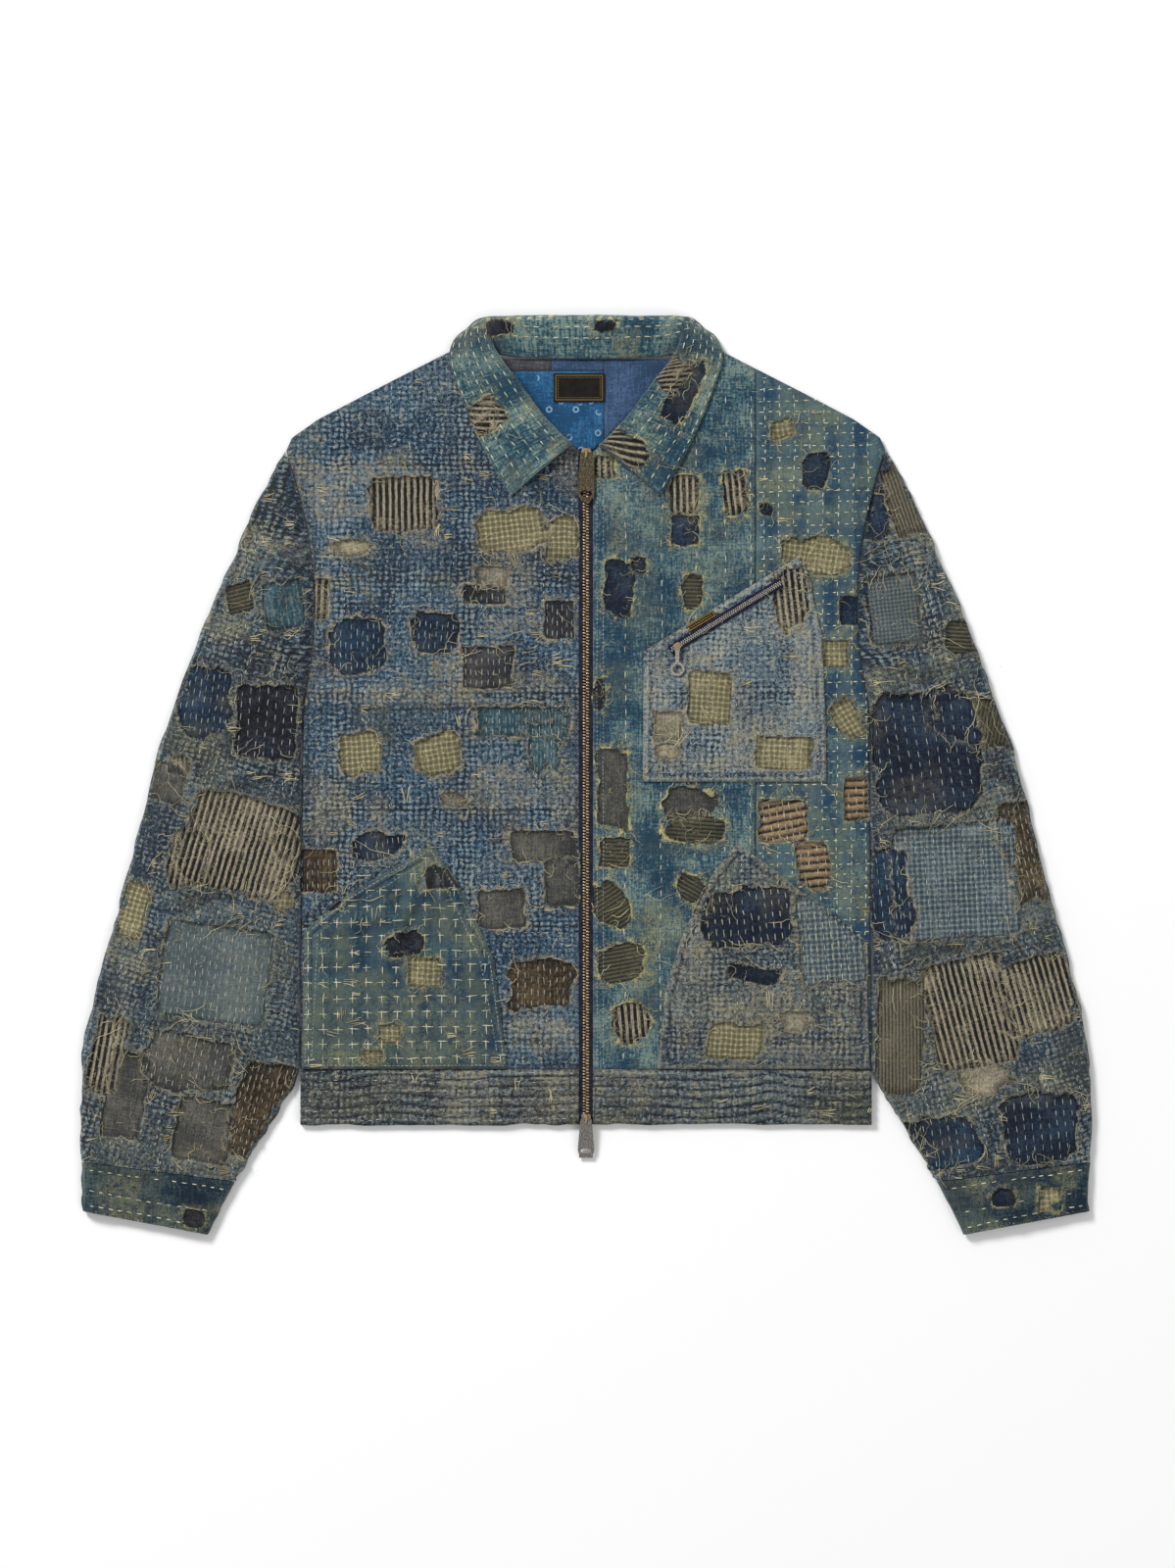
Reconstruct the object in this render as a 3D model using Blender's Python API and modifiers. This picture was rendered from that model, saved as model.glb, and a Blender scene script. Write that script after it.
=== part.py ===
"""Patched boro jacket, laid flat on its back and zipped up.

Metres, +Z up. The floor is z = 0, the neck is towards +Y, and the front zip runs
along x = 0. Sides are the wearer's: the wearer's right lies at -X. Widths in the
tables are counted outwards from the zip, and one function builds both sides.
"""
from collections import namedtuple
from math import atan2, cos, exp, hypot, pi, radians, sin

import bmesh
import bpy
from mathutils import Matrix, Vector

# ---- cloth and clearances -------------------------------------------------
GAP = 0.0003                # left between pieces that touch
CLOTH = 0.0022              # body cloth with its patches and lining
BAND_CLOTH = 0.0026         # folded hem and cuff bands
COLLAR_CLOTH = 0.0020
POCKET_CLOTH = 0.0020
LINING_CLOTH = 0.0010
LABEL_CLOTH = 0.0008

# ---- body -----------------------------------------------------------------
HEM_Y = -0.3030
HEM_SEAM_Y = -0.2550
UNDERARM_Y = 0.0580
SHOULDER_TIP_Y = 0.2800
ZIP_EDGE_X = 0.0060         # front edge, either side of the zip
HEM_X = 0.2475
UNDERARM_X = 0.2455
SHOULDER_TIP_X = 0.2600
ARMHOLE_BOW = 0.0170        # how far the armhole seam bows in towards the zip
ARMHOLE_STEPS = 10
SIDE_STEPS = 9
FRONT_COLUMNS = 10
SIDE_SEAM_X = 0.1470        # seam of the wearer's left front and its side panel
FRONT_Z = CLOTH + GAP       # underside of the fronts

# ---- sleeves and cuffs ----------------------------------------------------
SLEEVE_EDGE_STEPS = 4       # facets round each folded edge of a sleeve
SLEEVE_CUFF_GAP = 0.0004
CUFF_HEIGHT = 0.0080

# ---- zips -----------------------------------------------------------------
ZIP_TOP_Y = 0.2785
CHAIN_HALF = 0.0028
CHAIN_Z = (0.0030, 0.0054)
TAPE_Z = (0.0033, 0.0043)
ZIP_LOW_Y = HEM_Y + 0.0010
LOW_SLIDER_Y = HEM_Y + 0.0050
PULL_THICK = 0.0012
PULL_DROOP_TOP = radians(2.4)       # how far each pull slopes down at rest
PULL_DROOP_BOTTOM = radians(10.5)
PULL_DROOP_POCKET = radians(6.0)
POCKET_ZIP_SCALE = 0.72

# Rows of the fronts above the shoulder tip: neckline on one side, shoulder on the other.
NeckRow = namedtuple("NeckRow", "y neck_x shoulder_x")
NECK_ROWS = [
    NeckRow(0.2920, 0.0200, 0.2550),
    NeckRow(0.3080, 0.0360, 0.2320),
    NeckRow(0.3300, 0.0580, 0.1900),
    NeckRow(0.3530, 0.0760, 0.1450),
    NeckRow(0.3780, 0.0880, 0.0960),
]

# The back ends below the collar, so its outline closes along these points.
BACK_NECK = [(0.2550, 0.2920), (0.2320, 0.3080), (0.1900, 0.3300), (0.1450, 0.3510),
             (0.1140, 0.3655), (0.0920, 0.3715), (0.0800, 0.3655), (0.0500, 0.3605)]

# Broad soft folds of the fronts, raised by `rise` along a line through (x, y).
# x is signed: negative on the wearer's right.
Fold = namedtuple("Fold", "x y turn length width rise")
FOLDS = [
    Fold(-0.165, 0.150, radians(38), 0.070, 0.022, 0.0026),
    Fold(-0.060, 0.060, radians(84), 0.110, 0.020, 0.0018),
    Fold(-0.170, 0.010, radians(12), 0.060, 0.020, 0.0016),
    Fold(-0.095, -0.175, radians(70), 0.070, 0.026, 0.0022),
    Fold(0.145, 0.238, radians(-36), 0.038, 0.016, 0.0018),
    Fold(0.052, 0.020, radians(97), 0.110, 0.014, 0.0016),
    Fold(0.190, -0.080, radians(-15), 0.055, 0.022, 0.0022),
    Fold(0.100, -0.180, radians(105), 0.070, 0.028, 0.0020),
]

# Sleeve sections from the armhole to the cuff seam: the outer edge, the inner
# edge, how far the section bows towards the zip, and its height off the floor.
SleeveRow = namedtuple("SleeveRow", "out_x out_y in_x in_y bow height")
SLEEVE_ROWS = [
    SleeveRow(0.2608, 0.2800, 0.2464, 0.0580, 0.0168, 0.0054),
    SleeveRow(0.2840, 0.2380, 0.2470, 0.0220, 0.0000, 0.0070),
    SleeveRow(0.3030, 0.1950, 0.2472, -0.0150, 0.0000, 0.0080),
    SleeveRow(0.3250, 0.1430, 0.2473, -0.0600, 0.0000, 0.0080),
    SleeveRow(0.3480, 0.0830, 0.2476, -0.1100, 0.0000, 0.0080),
    SleeveRow(0.3700, 0.0200, 0.2479, -0.1600, 0.0000, 0.0080),
    SleeveRow(0.3880, -0.0500, 0.2482, -0.2100, 0.0000, 0.0080),
    SleeveRow(0.4060, -0.1180, 0.2486, -0.2570, 0.0000, 0.0080),
    SleeveRow(0.4220, -0.1760, 0.2650, -0.2880, 0.0000, 0.0080),
    SleeveRow(0.4340, -0.2300, 0.2800, -0.3130, 0.0000, 0.0080),
    SleeveRow(0.4385, -0.2850, 0.2945, -0.3370, 0.0000, 0.0080),
    SleeveRow(0.4370, -0.3350, 0.3040, -0.3520, 0.0000, 0.0078),
]
CUFF_END = SleeveRow(0.4360, -0.3780, 0.3270, -0.3985, 0.0000, 0.0076)

# Collar sections from the front end of a leaf to the centre back. Each wall runs
# from the neck seam over the roll, through the middle of the fall, to its edge.
CollarRow = namedtuple("CollarRow", "seam roll middle edge")
COLLAR_ROWS = [
    CollarRow((0.0130, 0.2810, 0.0057), (0.0140, 0.2840, 0.0120),
              (0.0400, 0.2630, 0.0092), (0.0650, 0.2410, 0.0064)),
    CollarRow((0.0260, 0.2935, 0.0057), (0.0280, 0.2980, 0.0142),
              (0.0560, 0.2850, 0.0102), (0.0810, 0.2680, 0.0064)),
    CollarRow((0.0400, 0.3095, 0.0057), (0.0420, 0.3140, 0.0155),
              (0.0700, 0.3040, 0.0108), (0.0930, 0.2920, 0.0064)),
    CollarRow((0.0540, 0.3280, 0.0057), (0.0560, 0.3340, 0.0162),
              (0.0820, 0.3250, 0.0110), (0.1030, 0.3150, 0.0064)),
    CollarRow((0.0665, 0.3440, 0.0057), (0.0680, 0.3500, 0.0166),
              (0.0920, 0.3440, 0.0110), (0.1115, 0.3370, 0.0064)),
    CollarRow((0.0755, 0.3545, 0.0057), (0.0760, 0.3610, 0.0168),
              (0.0990, 0.3600, 0.0106), (0.1180, 0.3570, 0.0064)),
    CollarRow((0.0810, 0.3610, 0.0057), (0.0815, 0.3720, 0.0168),
              (0.1020, 0.3740, 0.0096), (0.1170, 0.3705, 0.0064)),
    CollarRow((0.0805, 0.3650, 0.0057), (0.0850, 0.3840, 0.0164),
              (0.1010, 0.3860, 0.0080), (0.1085, 0.3825, 0.0016)),
    CollarRow((0.0740, 0.3640, 0.0054), (0.0810, 0.3905, 0.0160),
              (0.0920, 0.3950, 0.0064), (0.0930, 0.3860, 0.0015)),
    CollarRow((0.0600, 0.3620, 0.0050), (0.0650, 0.3920, 0.0156),
              (0.0690, 0.3960, 0.0058), (0.0690, 0.3780, 0.0015)),
    CollarRow((0.0300, 0.3610, 0.0050), (0.0320, 0.3920, 0.0152),
              (0.0330, 0.3960, 0.0056), (0.0330, 0.3760, 0.0015)),
    CollarRow((0.0000, 0.3605, 0.0050), (0.0000, 0.3920, 0.0150),
              (0.0000, 0.3960, 0.0056), (0.0000, 0.3755, 0.0015)),
]
COLLAR_BETWEEN = 2          # sections made from one row to the next
COLLAR_WALL_STEPS = 3       # facets from one point of a section to the next

# Pocket outlines, counter-clockwise, counted outwards from the zip.
POCKET_EDGE_X = 0.2460
POCKET_BOTTOM_Y = HEM_SEAM_Y + GAP
POCKET_RIGHT = [(0.0680, POCKET_BOTTOM_Y), (POCKET_EDGE_X, POCKET_BOTTOM_Y), (0.2440, -0.1350),
                (0.2070, -0.1040), (0.1340, -0.0610), (0.1050, -0.1040), (0.0800, -0.1590)]
POCKET_LEFT = [(0.0620, POCKET_BOTTOM_Y), (POCKET_EDGE_X, POCKET_BOTTOM_Y), (0.2420, -0.1360),
               (0.1560, -0.0770), (0.1320, -0.0580), (0.1100, -0.0850), (0.0830, -0.1390),
               (0.0680, -0.1900)]
POCKET_CHEST = [(0.0490, -0.0060), (0.2080, -0.0060), (0.2080, 0.0400), (0.2040, 0.1210),
                (0.1930, 0.1690), (0.1840, 0.1890), (0.0500, 0.1070)]
POCKET_TOP_EDGE = ((0.0500, 0.1070), (0.1840, 0.1890))
POCKET_ZIP_INSET = 0.0115   # zip line below the slanted edge
POCKET_ZIP_START = 0.0195   # along the slanted edge
POCKET_ZIP_LENGTH = 0.1130
POCKET_TAPE_HALF = 0.0043
POCKET_CHAIN_HALF = 0.0020
CHEST_TAB = (0.0270, 0.0060)        # length and width of the small label
CHEST_TAB_INSET = 0.0036
CHEST_TAB_START = 0.0560

# Lining shown in the neck, one outline for each cloth.
LINING_GREY = [(-0.0740, 0.3520), (-0.0720, 0.3500), (-0.0303, 0.3500), (-0.0303, 0.3600),
               (-0.0740, 0.3600)]
LINING_BLUE = [(-0.0720, 0.3497), (-0.0565, 0.3300), (-0.0345, 0.3080), (-0.0065, 0.2815),
               (0.0065, 0.2815), (0.0157, 0.2900), (0.0157, 0.3497)]
LINING_MAUVE = [(0.0160, 0.2895), (0.0345, 0.3080), (0.0565, 0.3300), (0.0740, 0.3520),
                (0.0740, 0.3600), (-0.0300, 0.3600), (-0.0300, 0.3500), (0.0160, 0.3500)]
NECK_LABEL_CENTRE = (-0.0060, 0.3355)
NECK_LABEL_SIZE = (0.0440, 0.0250)


# ---- scene ----------------------------------------------------------------
for old in list(bpy.data.objects):
    bpy.data.objects.remove(old)


def new_collection(name):
    collection = bpy.data.collections.new(name)
    bpy.context.scene.collection.children.link(collection)
    return collection


JACKET = new_collection("patched_boro_jacket")
CUTTERS = new_collection("cutters")


def finish(name, colour, rough=0.9, metal=0.0):
    """A plain Principled material."""
    material = bpy.data.materials.new(name)
    material.use_nodes = True
    shader = material.node_tree.nodes["Principled BSDF"]
    shader.inputs["Base Color"].default_value = (*colour, 1.0)
    shader.inputs["Roughness"].default_value = rough
    shader.inputs["Metallic"].default_value = metal
    return material


SLUB_TWEED = (0.080, 0.125, 0.190)
WORN_INDIGO = (0.045, 0.125, 0.180)
CHECK_INDIGO = (0.060, 0.140, 0.180)
DARK_TAPE = (0.018, 0.020, 0.045)
GREY_COTTON = (0.080, 0.075, 0.085)
BRIGHT_BLUE = (0.010, 0.130, 0.400)
MAUVE_BLUE = (0.050, 0.080, 0.280)
BROWN = (0.030, 0.018, 0.012)
BLACK = (0.010, 0.010, 0.012)
BRASS = (0.420, 0.280, 0.110)
OLD_BRASS = (0.200, 0.150, 0.075)
STEEL = (0.250, 0.245, 0.230)


def add_mesh(name, bm, material, collection=JACKET):
    """Make an object of a bmesh."""
    mesh = bpy.data.meshes.new(name)
    bm.to_mesh(mesh)
    bm.free()
    if material:
        mesh.materials.append(material)
    piece = bpy.data.objects.new(name, mesh)
    collection.objects.link(piece)
    return piece


def thicken(piece, thickness, offset):
    """Give an open surface its wall."""
    wall = piece.modifiers.new("wall", "SOLIDIFY")
    wall.thickness = thickness
    wall.offset = offset


def surface(across, along, place):
    """A grid whose points go to place(u, v), with u across it and v along it."""
    bm = bmesh.new()
    bmesh.ops.create_grid(bm, x_segments=across, y_segments=along, size=0.5)
    for vert in bm.verts:
        vert.co = place(vert.co.x + 0.5, vert.co.y + 0.5)
    bmesh.ops.remove_doubles(bm, verts=bm.verts, dist=1e-6)
    bmesh.ops.recalc_face_normals(bm, faces=bm.faces)
    return bm


def face_up(bm):
    """Turn an open sheet so that its faces look up."""
    if sum(face.normal.z for face in bm.faces) < 0:
        bmesh.ops.reverse_faces(bm, faces=bm.faces)


def flat_piece(name, outline, bottom, thickness, material, holes=()):
    """A flat outline with holes, cut out of cloth or sheet metal."""
    curve = bpy.data.curves.new(name, "CURVE")
    curve.dimensions = "2D"
    curve.fill_mode = "BOTH"
    curve.extrude = thickness / 2
    for loop in (outline, *holes):
        spline = curve.splines.new("POLY")
        spline.points.add(len(loop) - 1)
        for point, (x, y) in zip(spline.points, loop):
            point.co = (x, y, 0.0, 1.0)
        spline.use_cyclic_u = True
    curve.materials.append(material)
    piece = bpy.data.objects.new(name, curve)
    piece.location.z = bottom + thickness / 2
    JACKET.objects.link(piece)
    return piece


def box_mesh(low, high):
    """A bmesh box from its lowest to its highest corner."""
    bm = bmesh.new()
    centre = (Vector(low) + Vector(high)) / 2
    size = Vector(high) - Vector(low)
    place = Matrix.Translation(centre) @ Matrix.Diagonal((*size, 1.0))
    bmesh.ops.create_cube(bm, size=1.0, matrix=place)
    return bm


def box_piece(name, low, high, material):
    return add_mesh(name, box_mesh(low, high), material)


def mix(a, b, t):
    return a + (b - a) * t


def spline_point(a, b, c, d, t):
    """A point of the smooth curve from b to c, with a before and d after them."""
    return 0.5 * (2 * b + (c - a) * t + (2 * a - 5 * b + 4 * c - d) * t * t
                  + (3 * b - a - 3 * c + d) * t * t * t)


# ---- fronts ---------------------------------------------------------------
def armhole_x(t):
    """The armhole seam, from the underarm (0) to the shoulder tip (1)."""
    return mix(UNDERARM_X, SHOULDER_TIP_X, t) - ARMHOLE_BOW * 4 * t * (1 - t)


def front_rows():
    """Rows (y, inner x, outer x) of a front, from the hem seam to the neck."""
    rows = []
    for step in range(SIDE_STEPS):
        t = step / SIDE_STEPS
        rows.append((mix(HEM_SEAM_Y, UNDERARM_Y, t), ZIP_EDGE_X, mix(HEM_X, UNDERARM_X, t)))
    for step in range(ARMHOLE_STEPS + 1):
        t = step / ARMHOLE_STEPS
        rows.append((mix(UNDERARM_Y, SHOULDER_TIP_Y, t), ZIP_EDGE_X, armhole_x(t)))
    return rows + [tuple(row) for row in NECK_ROWS]


def fold_rise(x, y):
    """Height that the soft folds add to a front at (x, y)."""
    rise = 0.0
    for fold in FOLDS:
        along = (x - fold.x) * cos(fold.turn) + (y - fold.y) * sin(fold.turn)
        aside = (y - fold.y) * cos(fold.turn) - (x - fold.x) * sin(fold.turn)
        rise += fold.rise * exp(-(along / fold.length) ** 2 - (aside / fold.width) ** 2)
    return rise


def front_surface(side):
    """The underside of a whole front, as triangles. side is -1 or +1."""
    rows = front_rows()

    def place(u, v):
        y, inner, outer = rows[round(v * (len(rows) - 1))]
        x = side * mix(inner, outer, u)
        edge_fade = 16 * (u * (1 - u) * v * (1 - v))
        return Vector((x, y, FRONT_Z + fold_rise(x, y) * min(1.0, 2.5 * edge_fade)))

    bm = surface(FRONT_COLUMNS, len(rows) - 1, place)
    face_up(bm)
    bmesh.ops.triangulate(bm, faces=bm.faces)
    return bm


def trim(bm, point, outwards):
    """Cut away what lies beyond a vertical plane."""
    geometry = bm.verts[:] + bm.edges[:] + bm.faces[:]
    bmesh.ops.bisect_plane(bm, geom=geometry, dist=1e-7, plane_co=(*point, 0.0),
                           plane_no=(*outwards, 0.0), clear_outer=True)


def front_panel(name, side, material, inner_x=None, outer_x=None):
    """A front, or the strip of it between two upright seams."""
    bm = front_surface(side)
    if inner_x is not None:
        trim(bm, (side * inner_x, 0.0), (-side, 0.0))
    if outer_x is not None:
        trim(bm, (side * outer_x, 0.0), (side, 0.0))
    piece = add_mesh(name, bm, material)
    thicken(piece, CLOTH, 1.0)


def patch_pocket(name, side, outline, material):
    """A pocket sewn onto a front: the front's own surface, trimmed and raised."""
    bm = front_surface(side)
    for (ax, ay), (bx, by) in zip(outline, outline[1:] + outline[:1]):
        trim(bm, (side * ax, ay), (side * (by - ay), ax - bx))
    for vert in bm.verts:
        vert.co.z += CLOTH + GAP
    piece = add_mesh(name, bm, material)
    thicken(piece, POCKET_CLOTH, 1.0)


# ---- body -----------------------------------------------------------------
def back_outline():
    """The back, from the hem seam round the wearer's left side and back."""
    half = [(HEM_X, HEM_SEAM_Y)]
    for step in range(ARMHOLE_STEPS + 1):
        t = step / ARMHOLE_STEPS
        half.append((armhole_x(t), mix(UNDERARM_Y, SHOULDER_TIP_Y, t)))
    half += BACK_NECK
    return half + [(-x, y) for x, y in reversed(half)]


def make_body():
    tweed = finish("slub_tweed", SLUB_TWEED)
    indigo = finish("worn_indigo", WORN_INDIGO)
    check = finish("stitched_check_indigo", CHECK_INDIGO)
    flat_piece("back", back_outline(), 0.0, CLOTH, finish("back_tweed", SLUB_TWEED))
    front_panel("front_right", -1, tweed)
    front_panel("front_left", 1, indigo, outer_x=SIDE_SEAM_X - GAP / 2)
    front_panel("front_left_side", 1, check, inner_x=SIDE_SEAM_X + GAP / 2)
    patch_pocket("pocket_right", -1, POCKET_RIGHT, finish("pocket_check", CHECK_INDIGO))
    patch_pocket("pocket_left", 1, POCKET_LEFT, finish("pocket_tweed", SLUB_TWEED))
    patch_pocket("pocket_chest", 1, POCKET_CHEST, finish("pocket_pale_tweed", SLUB_TWEED))
    band = finish("hem_band_tweed", SLUB_TWEED)
    top = HEM_SEAM_Y - GAP
    box_piece("hem_band_back", (-HEM_X, HEM_Y, 0.0), (HEM_X, top, CLOTH), band)
    high = FRONT_Z + BAND_CLOTH
    box_piece("hem_band_right", (-HEM_X, HEM_Y, FRONT_Z), (-ZIP_EDGE_X, top, high), band)
    box_piece("hem_band_left", (ZIP_EDGE_X, HEM_Y, FRONT_Z), (HEM_X, top, high), band)


# ---- sleeves --------------------------------------------------------------
def ring(row, inset):
    """Points round a flattened tube: up its outer edge, over the top to the inner
    edge, down it, and back along the floor. Both edges are half circles. The
    wall's inner face is the same ring, inset by the wall's thickness."""
    width = hypot(row.in_x - row.out_x, row.in_y - row.out_y)
    middle = row.height / 2
    radius = middle - inset
    arc = [pi * (step / SLEEVE_EDGE_STEPS - 0.5) for step in range(SLEEVE_EDGE_STEPS + 1)]
    flat = [step / ARMHOLE_STEPS for step in range(1, ARMHOLE_STEPS)]
    section = [(middle - radius * cos(angle), middle + radius * sin(angle)) for angle in arc]
    section += [(t * width, middle + radius) for t in flat]
    section += [(width - middle + radius * cos(angle), middle + radius * sin(angle))
                for angle in reversed(arc)]
    section += [(t * width, middle - radius) for t in reversed(flat)]
    points = []
    for across, height in section:
        t = across / width
        bow = row.bow * 4 * t * (1 - t)
        points.append(Vector((mix(row.out_x, row.in_x, t) - bow, mix(row.out_y, row.in_y, t), height)))
    return points


def tube(name, side, rows, wall, material):
    """A flattened tube through the rows, mirrored for the wearer's right. The grid
    runs down the wall's outer face, back up its inner face, and closes."""
    outer = [ring(row, 0.0) for row in rows]
    inner = [ring(row, wall) for row in rows]
    rings = [*outer, *reversed(inner), outer[0]]
    around = len(outer[0])

    def place(u, v):
        point = rings[round(v * (len(rings) - 1))][round(u * around) % around]
        return Vector((side * point.x, point.y, point.z))

    add_mesh(name, surface(around, len(rings) - 1, place), material)


def between(a, b, t):
    return SleeveRow(*[mix(p, q, t) for p, q in zip(a, b)])


def make_sleeves():
    sleeve_cloth = finish("sleeve_tweed", SLUB_TWEED)
    cuff_cloth = finish("cuff_indigo", WORN_INDIGO)
    seam = SLEEVE_ROWS[-1]
    length = hypot(CUFF_END.in_x - seam.in_x, CUFF_END.in_y - seam.in_y)
    cuff_start = between(seam, CUFF_END, SLEEVE_CUFF_GAP * 2 / length)._replace(height=CUFF_HEIGHT)
    cuff_rows = [between(cuff_start, CUFF_END, t / 3) for t in range(4)]
    for side, word in ((-1, "right"), (1, "left")):
        tube("sleeve_" + word, side, SLEEVE_ROWS, CLOTH, sleeve_cloth)
        tube("cuff_" + word, side, cuff_rows, BAND_CLOTH, cuff_cloth)


# ---- collar ---------------------------------------------------------------
def mirrored(row):
    return CollarRow(*[(-x, y, z) for x, y, z in row])


def make_collar():
    """One shaped strip from leaf to leaf, round the back of the neck."""
    rows = COLLAR_ROWS + [mirrored(row) for row in reversed(COLLAR_ROWS[:-1])]
    along = (len(rows) - 1) * COLLAR_BETWEEN
    across = 3 * COLLAR_WALL_STEPS

    def smooth(points, position):
        """The smooth curve through the points, at a position counted in points."""
        last = len(points) - 1
        start = min(int(position + 1e-6), last - 1)
        near = [points[min(max(start + step, 0), last)] for step in (-1, 0, 1, 2)]
        return spline_point(*near, position - start)

    def place(u, v):
        columns = [[Vector(point) for point in column] for column in zip(*rows)]
        section = [smooth(column, v * (len(rows) - 1)) for column in columns]
        return smooth(section, u * 3)

    bm = surface(across, along, place)
    piece = add_mesh("collar", bm, finish("collar_indigo", WORN_INDIGO))
    thicken(piece, COLLAR_CLOTH, 0.0)


# ---- lining and labels ----------------------------------------------------
def rectangle(centre, size, turn=0.0):
    """Corners of a rectangle about a centre, turned by an angle."""
    half_x, half_y = size[0] / 2, size[1] / 2
    corners = [(-half_x, -half_y), (half_x, -half_y), (half_x, half_y), (-half_x, half_y)]
    return [(centre[0] + x * cos(turn) - y * sin(turn), centre[1] + x * sin(turn) + y * cos(turn))
            for x, y in corners]


def make_lining():
    bottom = CLOTH + GAP
    cloths = (("grey", LINING_GREY, GREY_COTTON), ("blue", LINING_BLUE, BRIGHT_BLUE),
              ("mauve", LINING_MAUVE, MAUVE_BLUE))
    for word, outline, colour in cloths:
        material = finish(word + "_lining", colour)
        flat_piece("lining_" + word, outline, bottom, LINING_CLOTH, material)
    label = rectangle(NECK_LABEL_CENTRE, NECK_LABEL_SIZE)
    flat_piece("neck_label", label, bottom + LINING_CLOTH + GAP, LABEL_CLOTH, finish("brown_label", BROWN))


# ---- zips -----------------------------------------------------------------
def cutter(name, bm, parent):
    """A hidden solid for a Boolean, which moves with its parent."""
    solid = add_mesh(name, bm, None, CUTTERS)
    solid.parent = parent
    solid.hide_render = True
    solid.display_type = "WIRE"
    return solid


def combine(piece, solid, operation):
    boolean = piece.modifiers.new(operation.lower(), "BOOLEAN")
    boolean.operation = operation
    boolean.object = solid
    boolean.solver = "EXACT"


# Slider sizes at scale 1, from the top of the chain up.
SLIDER_LENGTH = 0.0086
SLIDER_HALF = 0.0040
SLIDER_LIP = 0.0008         # how far the side lips reach down past the chain's top
SLIDER_FLOOR = 0.0003
SLIDER_PLATE = 0.0014
LOOP_LENGTH = 0.0074
LOOP_WIDTH = 0.0018
LOOP_BAR = 0.0009
LOOP_INSIDE = 0.0027        # height of the space under the loop
PIVOT_RISE = 0.0016         # pull's bar above the plate



# Pull sizes at scale 1. A pull turns about the bar at its head, and points to -Y.
BAR_HALF = 0.0006
SLOT_HALF = 0.0015
SLOT_END = 0.0047
HEAD_END = 0.0007           # how far the head reaches past the bar's axis


def make_slider(name, place, chain_top, heading, loop_heading, chain_half, scale, material):
    """A slider body over the chain, with side lips and the loop that holds the pull."""
    top = (SLIDER_FLOOR + SLIDER_PLATE) * scale
    half = SLIDER_HALF * scale
    length = SLIDER_LENGTH * scale
    body = box_mesh((-half, -length / 2, -SLIDER_LIP * scale), (half, length / 2, top))
    upright = [edge for edge in body.edges if abs(edge.verts[0].co.z - edge.verts[1].co.z) > 1e-6]
    bmesh.ops.bevel(body, geom=upright, offset=half * 0.45, segments=3, affect="EDGES", profile=0.5)
    piece = add_mesh(name, body, material)
    piece.location = (*place, chain_top)
    piece.rotation_euler.z = heading
    channel_half = chain_half + GAP
    channel = box_mesh((-channel_half, -length, -0.01), (channel_half, length, SLIDER_FLOOR * scale))
    loop_turn = Matrix.Rotation(loop_heading - heading, 4, "Z")
    loop_high = top + (LOOP_INSIDE + LOOP_BAR) * scale
    loop = box_mesh((-LOOP_WIDTH / 2 * scale, -LOOP_LENGTH / 2 * scale, top - SLIDER_PLATE * scale / 2),
                    (LOOP_WIDTH / 2 * scale, LOOP_LENGTH / 2 * scale, loop_high))
    window_half = (LOOP_LENGTH / 2 - LOOP_BAR) * scale
    window = box_mesh((-LOOP_WIDTH * scale, -window_half, top),
                      (LOOP_WIDTH * scale, window_half, top + LOOP_INSIDE * scale))
    loop.transform(loop_turn)
    window.transform(loop_turn)
    combine(piece, cutter(name + "_channel", channel, piece), "DIFFERENCE")
    combine(piece, cutter(name + "_loop", loop, piece), "UNION")
    combine(piece, cutter(name + "_window", window, piece), "DIFFERENCE")
    return Vector((*place, chain_top + top + PIVOT_RISE * scale))


def oval(centre_y, half_x, half_y, points=16):
    angles = [2 * pi * n / points for n in range(points)]
    return [(half_x * cos(angle), centre_y + half_y * sin(angle)) for angle in angles]


def pull_slot(scale):
    """The opening at a pull's head, which its slider's loop passes through."""
    half = SLOT_HALF * scale
    low, high = -SLOT_END * scale, -BAR_HALF * scale
    return [(-half, low), (half, low), (half, high), (-half, high)]


def make_pull(name, pivot, droop, outline, hole, scale, material):
    """A pull that hangs on a slider's loop by the bar above its slot."""
    piece = flat_piece(name, outline, 0.0, PULL_THICK * scale, material, holes=(pull_slot(scale), hole))
    piece.location = pivot
    piece.rotation_euler.x = droop
    return piece


def tapered_pull(length, top_half, low_half, tip_half):
    """Outline of a long tab that widens to its lower end and closes in a blunt tip."""
    shoulder = 0.80 * length
    corner = 0.88 * length
    right = [(top_half * 0.8, HEAD_END), (top_half, -2 * BAR_HALF), (low_half, -shoulder),
             (low_half * 0.86, -corner), (tip_half, -length)]
    return [(-x, y) for x, y in right] + list(reversed(right))


def ring_pull(stem, stem_half, radius, scale):
    """Outline of a short stem that ends in a round ring."""
    centre = -(stem + radius)
    open_angle = pi / 2 - stem_half / radius
    arc = []
    for step in range(19):
        angle = pi - open_angle + (pi + 2 * open_angle) * step / 18
        arc.append((radius * cos(angle), centre + radius * sin(angle)))
    head_half = 2 * SLOT_HALF * scale
    head = [(head_half, HEAD_END * scale), (head_half, -0.0058 * scale), (stem_half, -0.0072 * scale)]
    return [(-x, y) for x, y in head] + arc + list(reversed(head))


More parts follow.
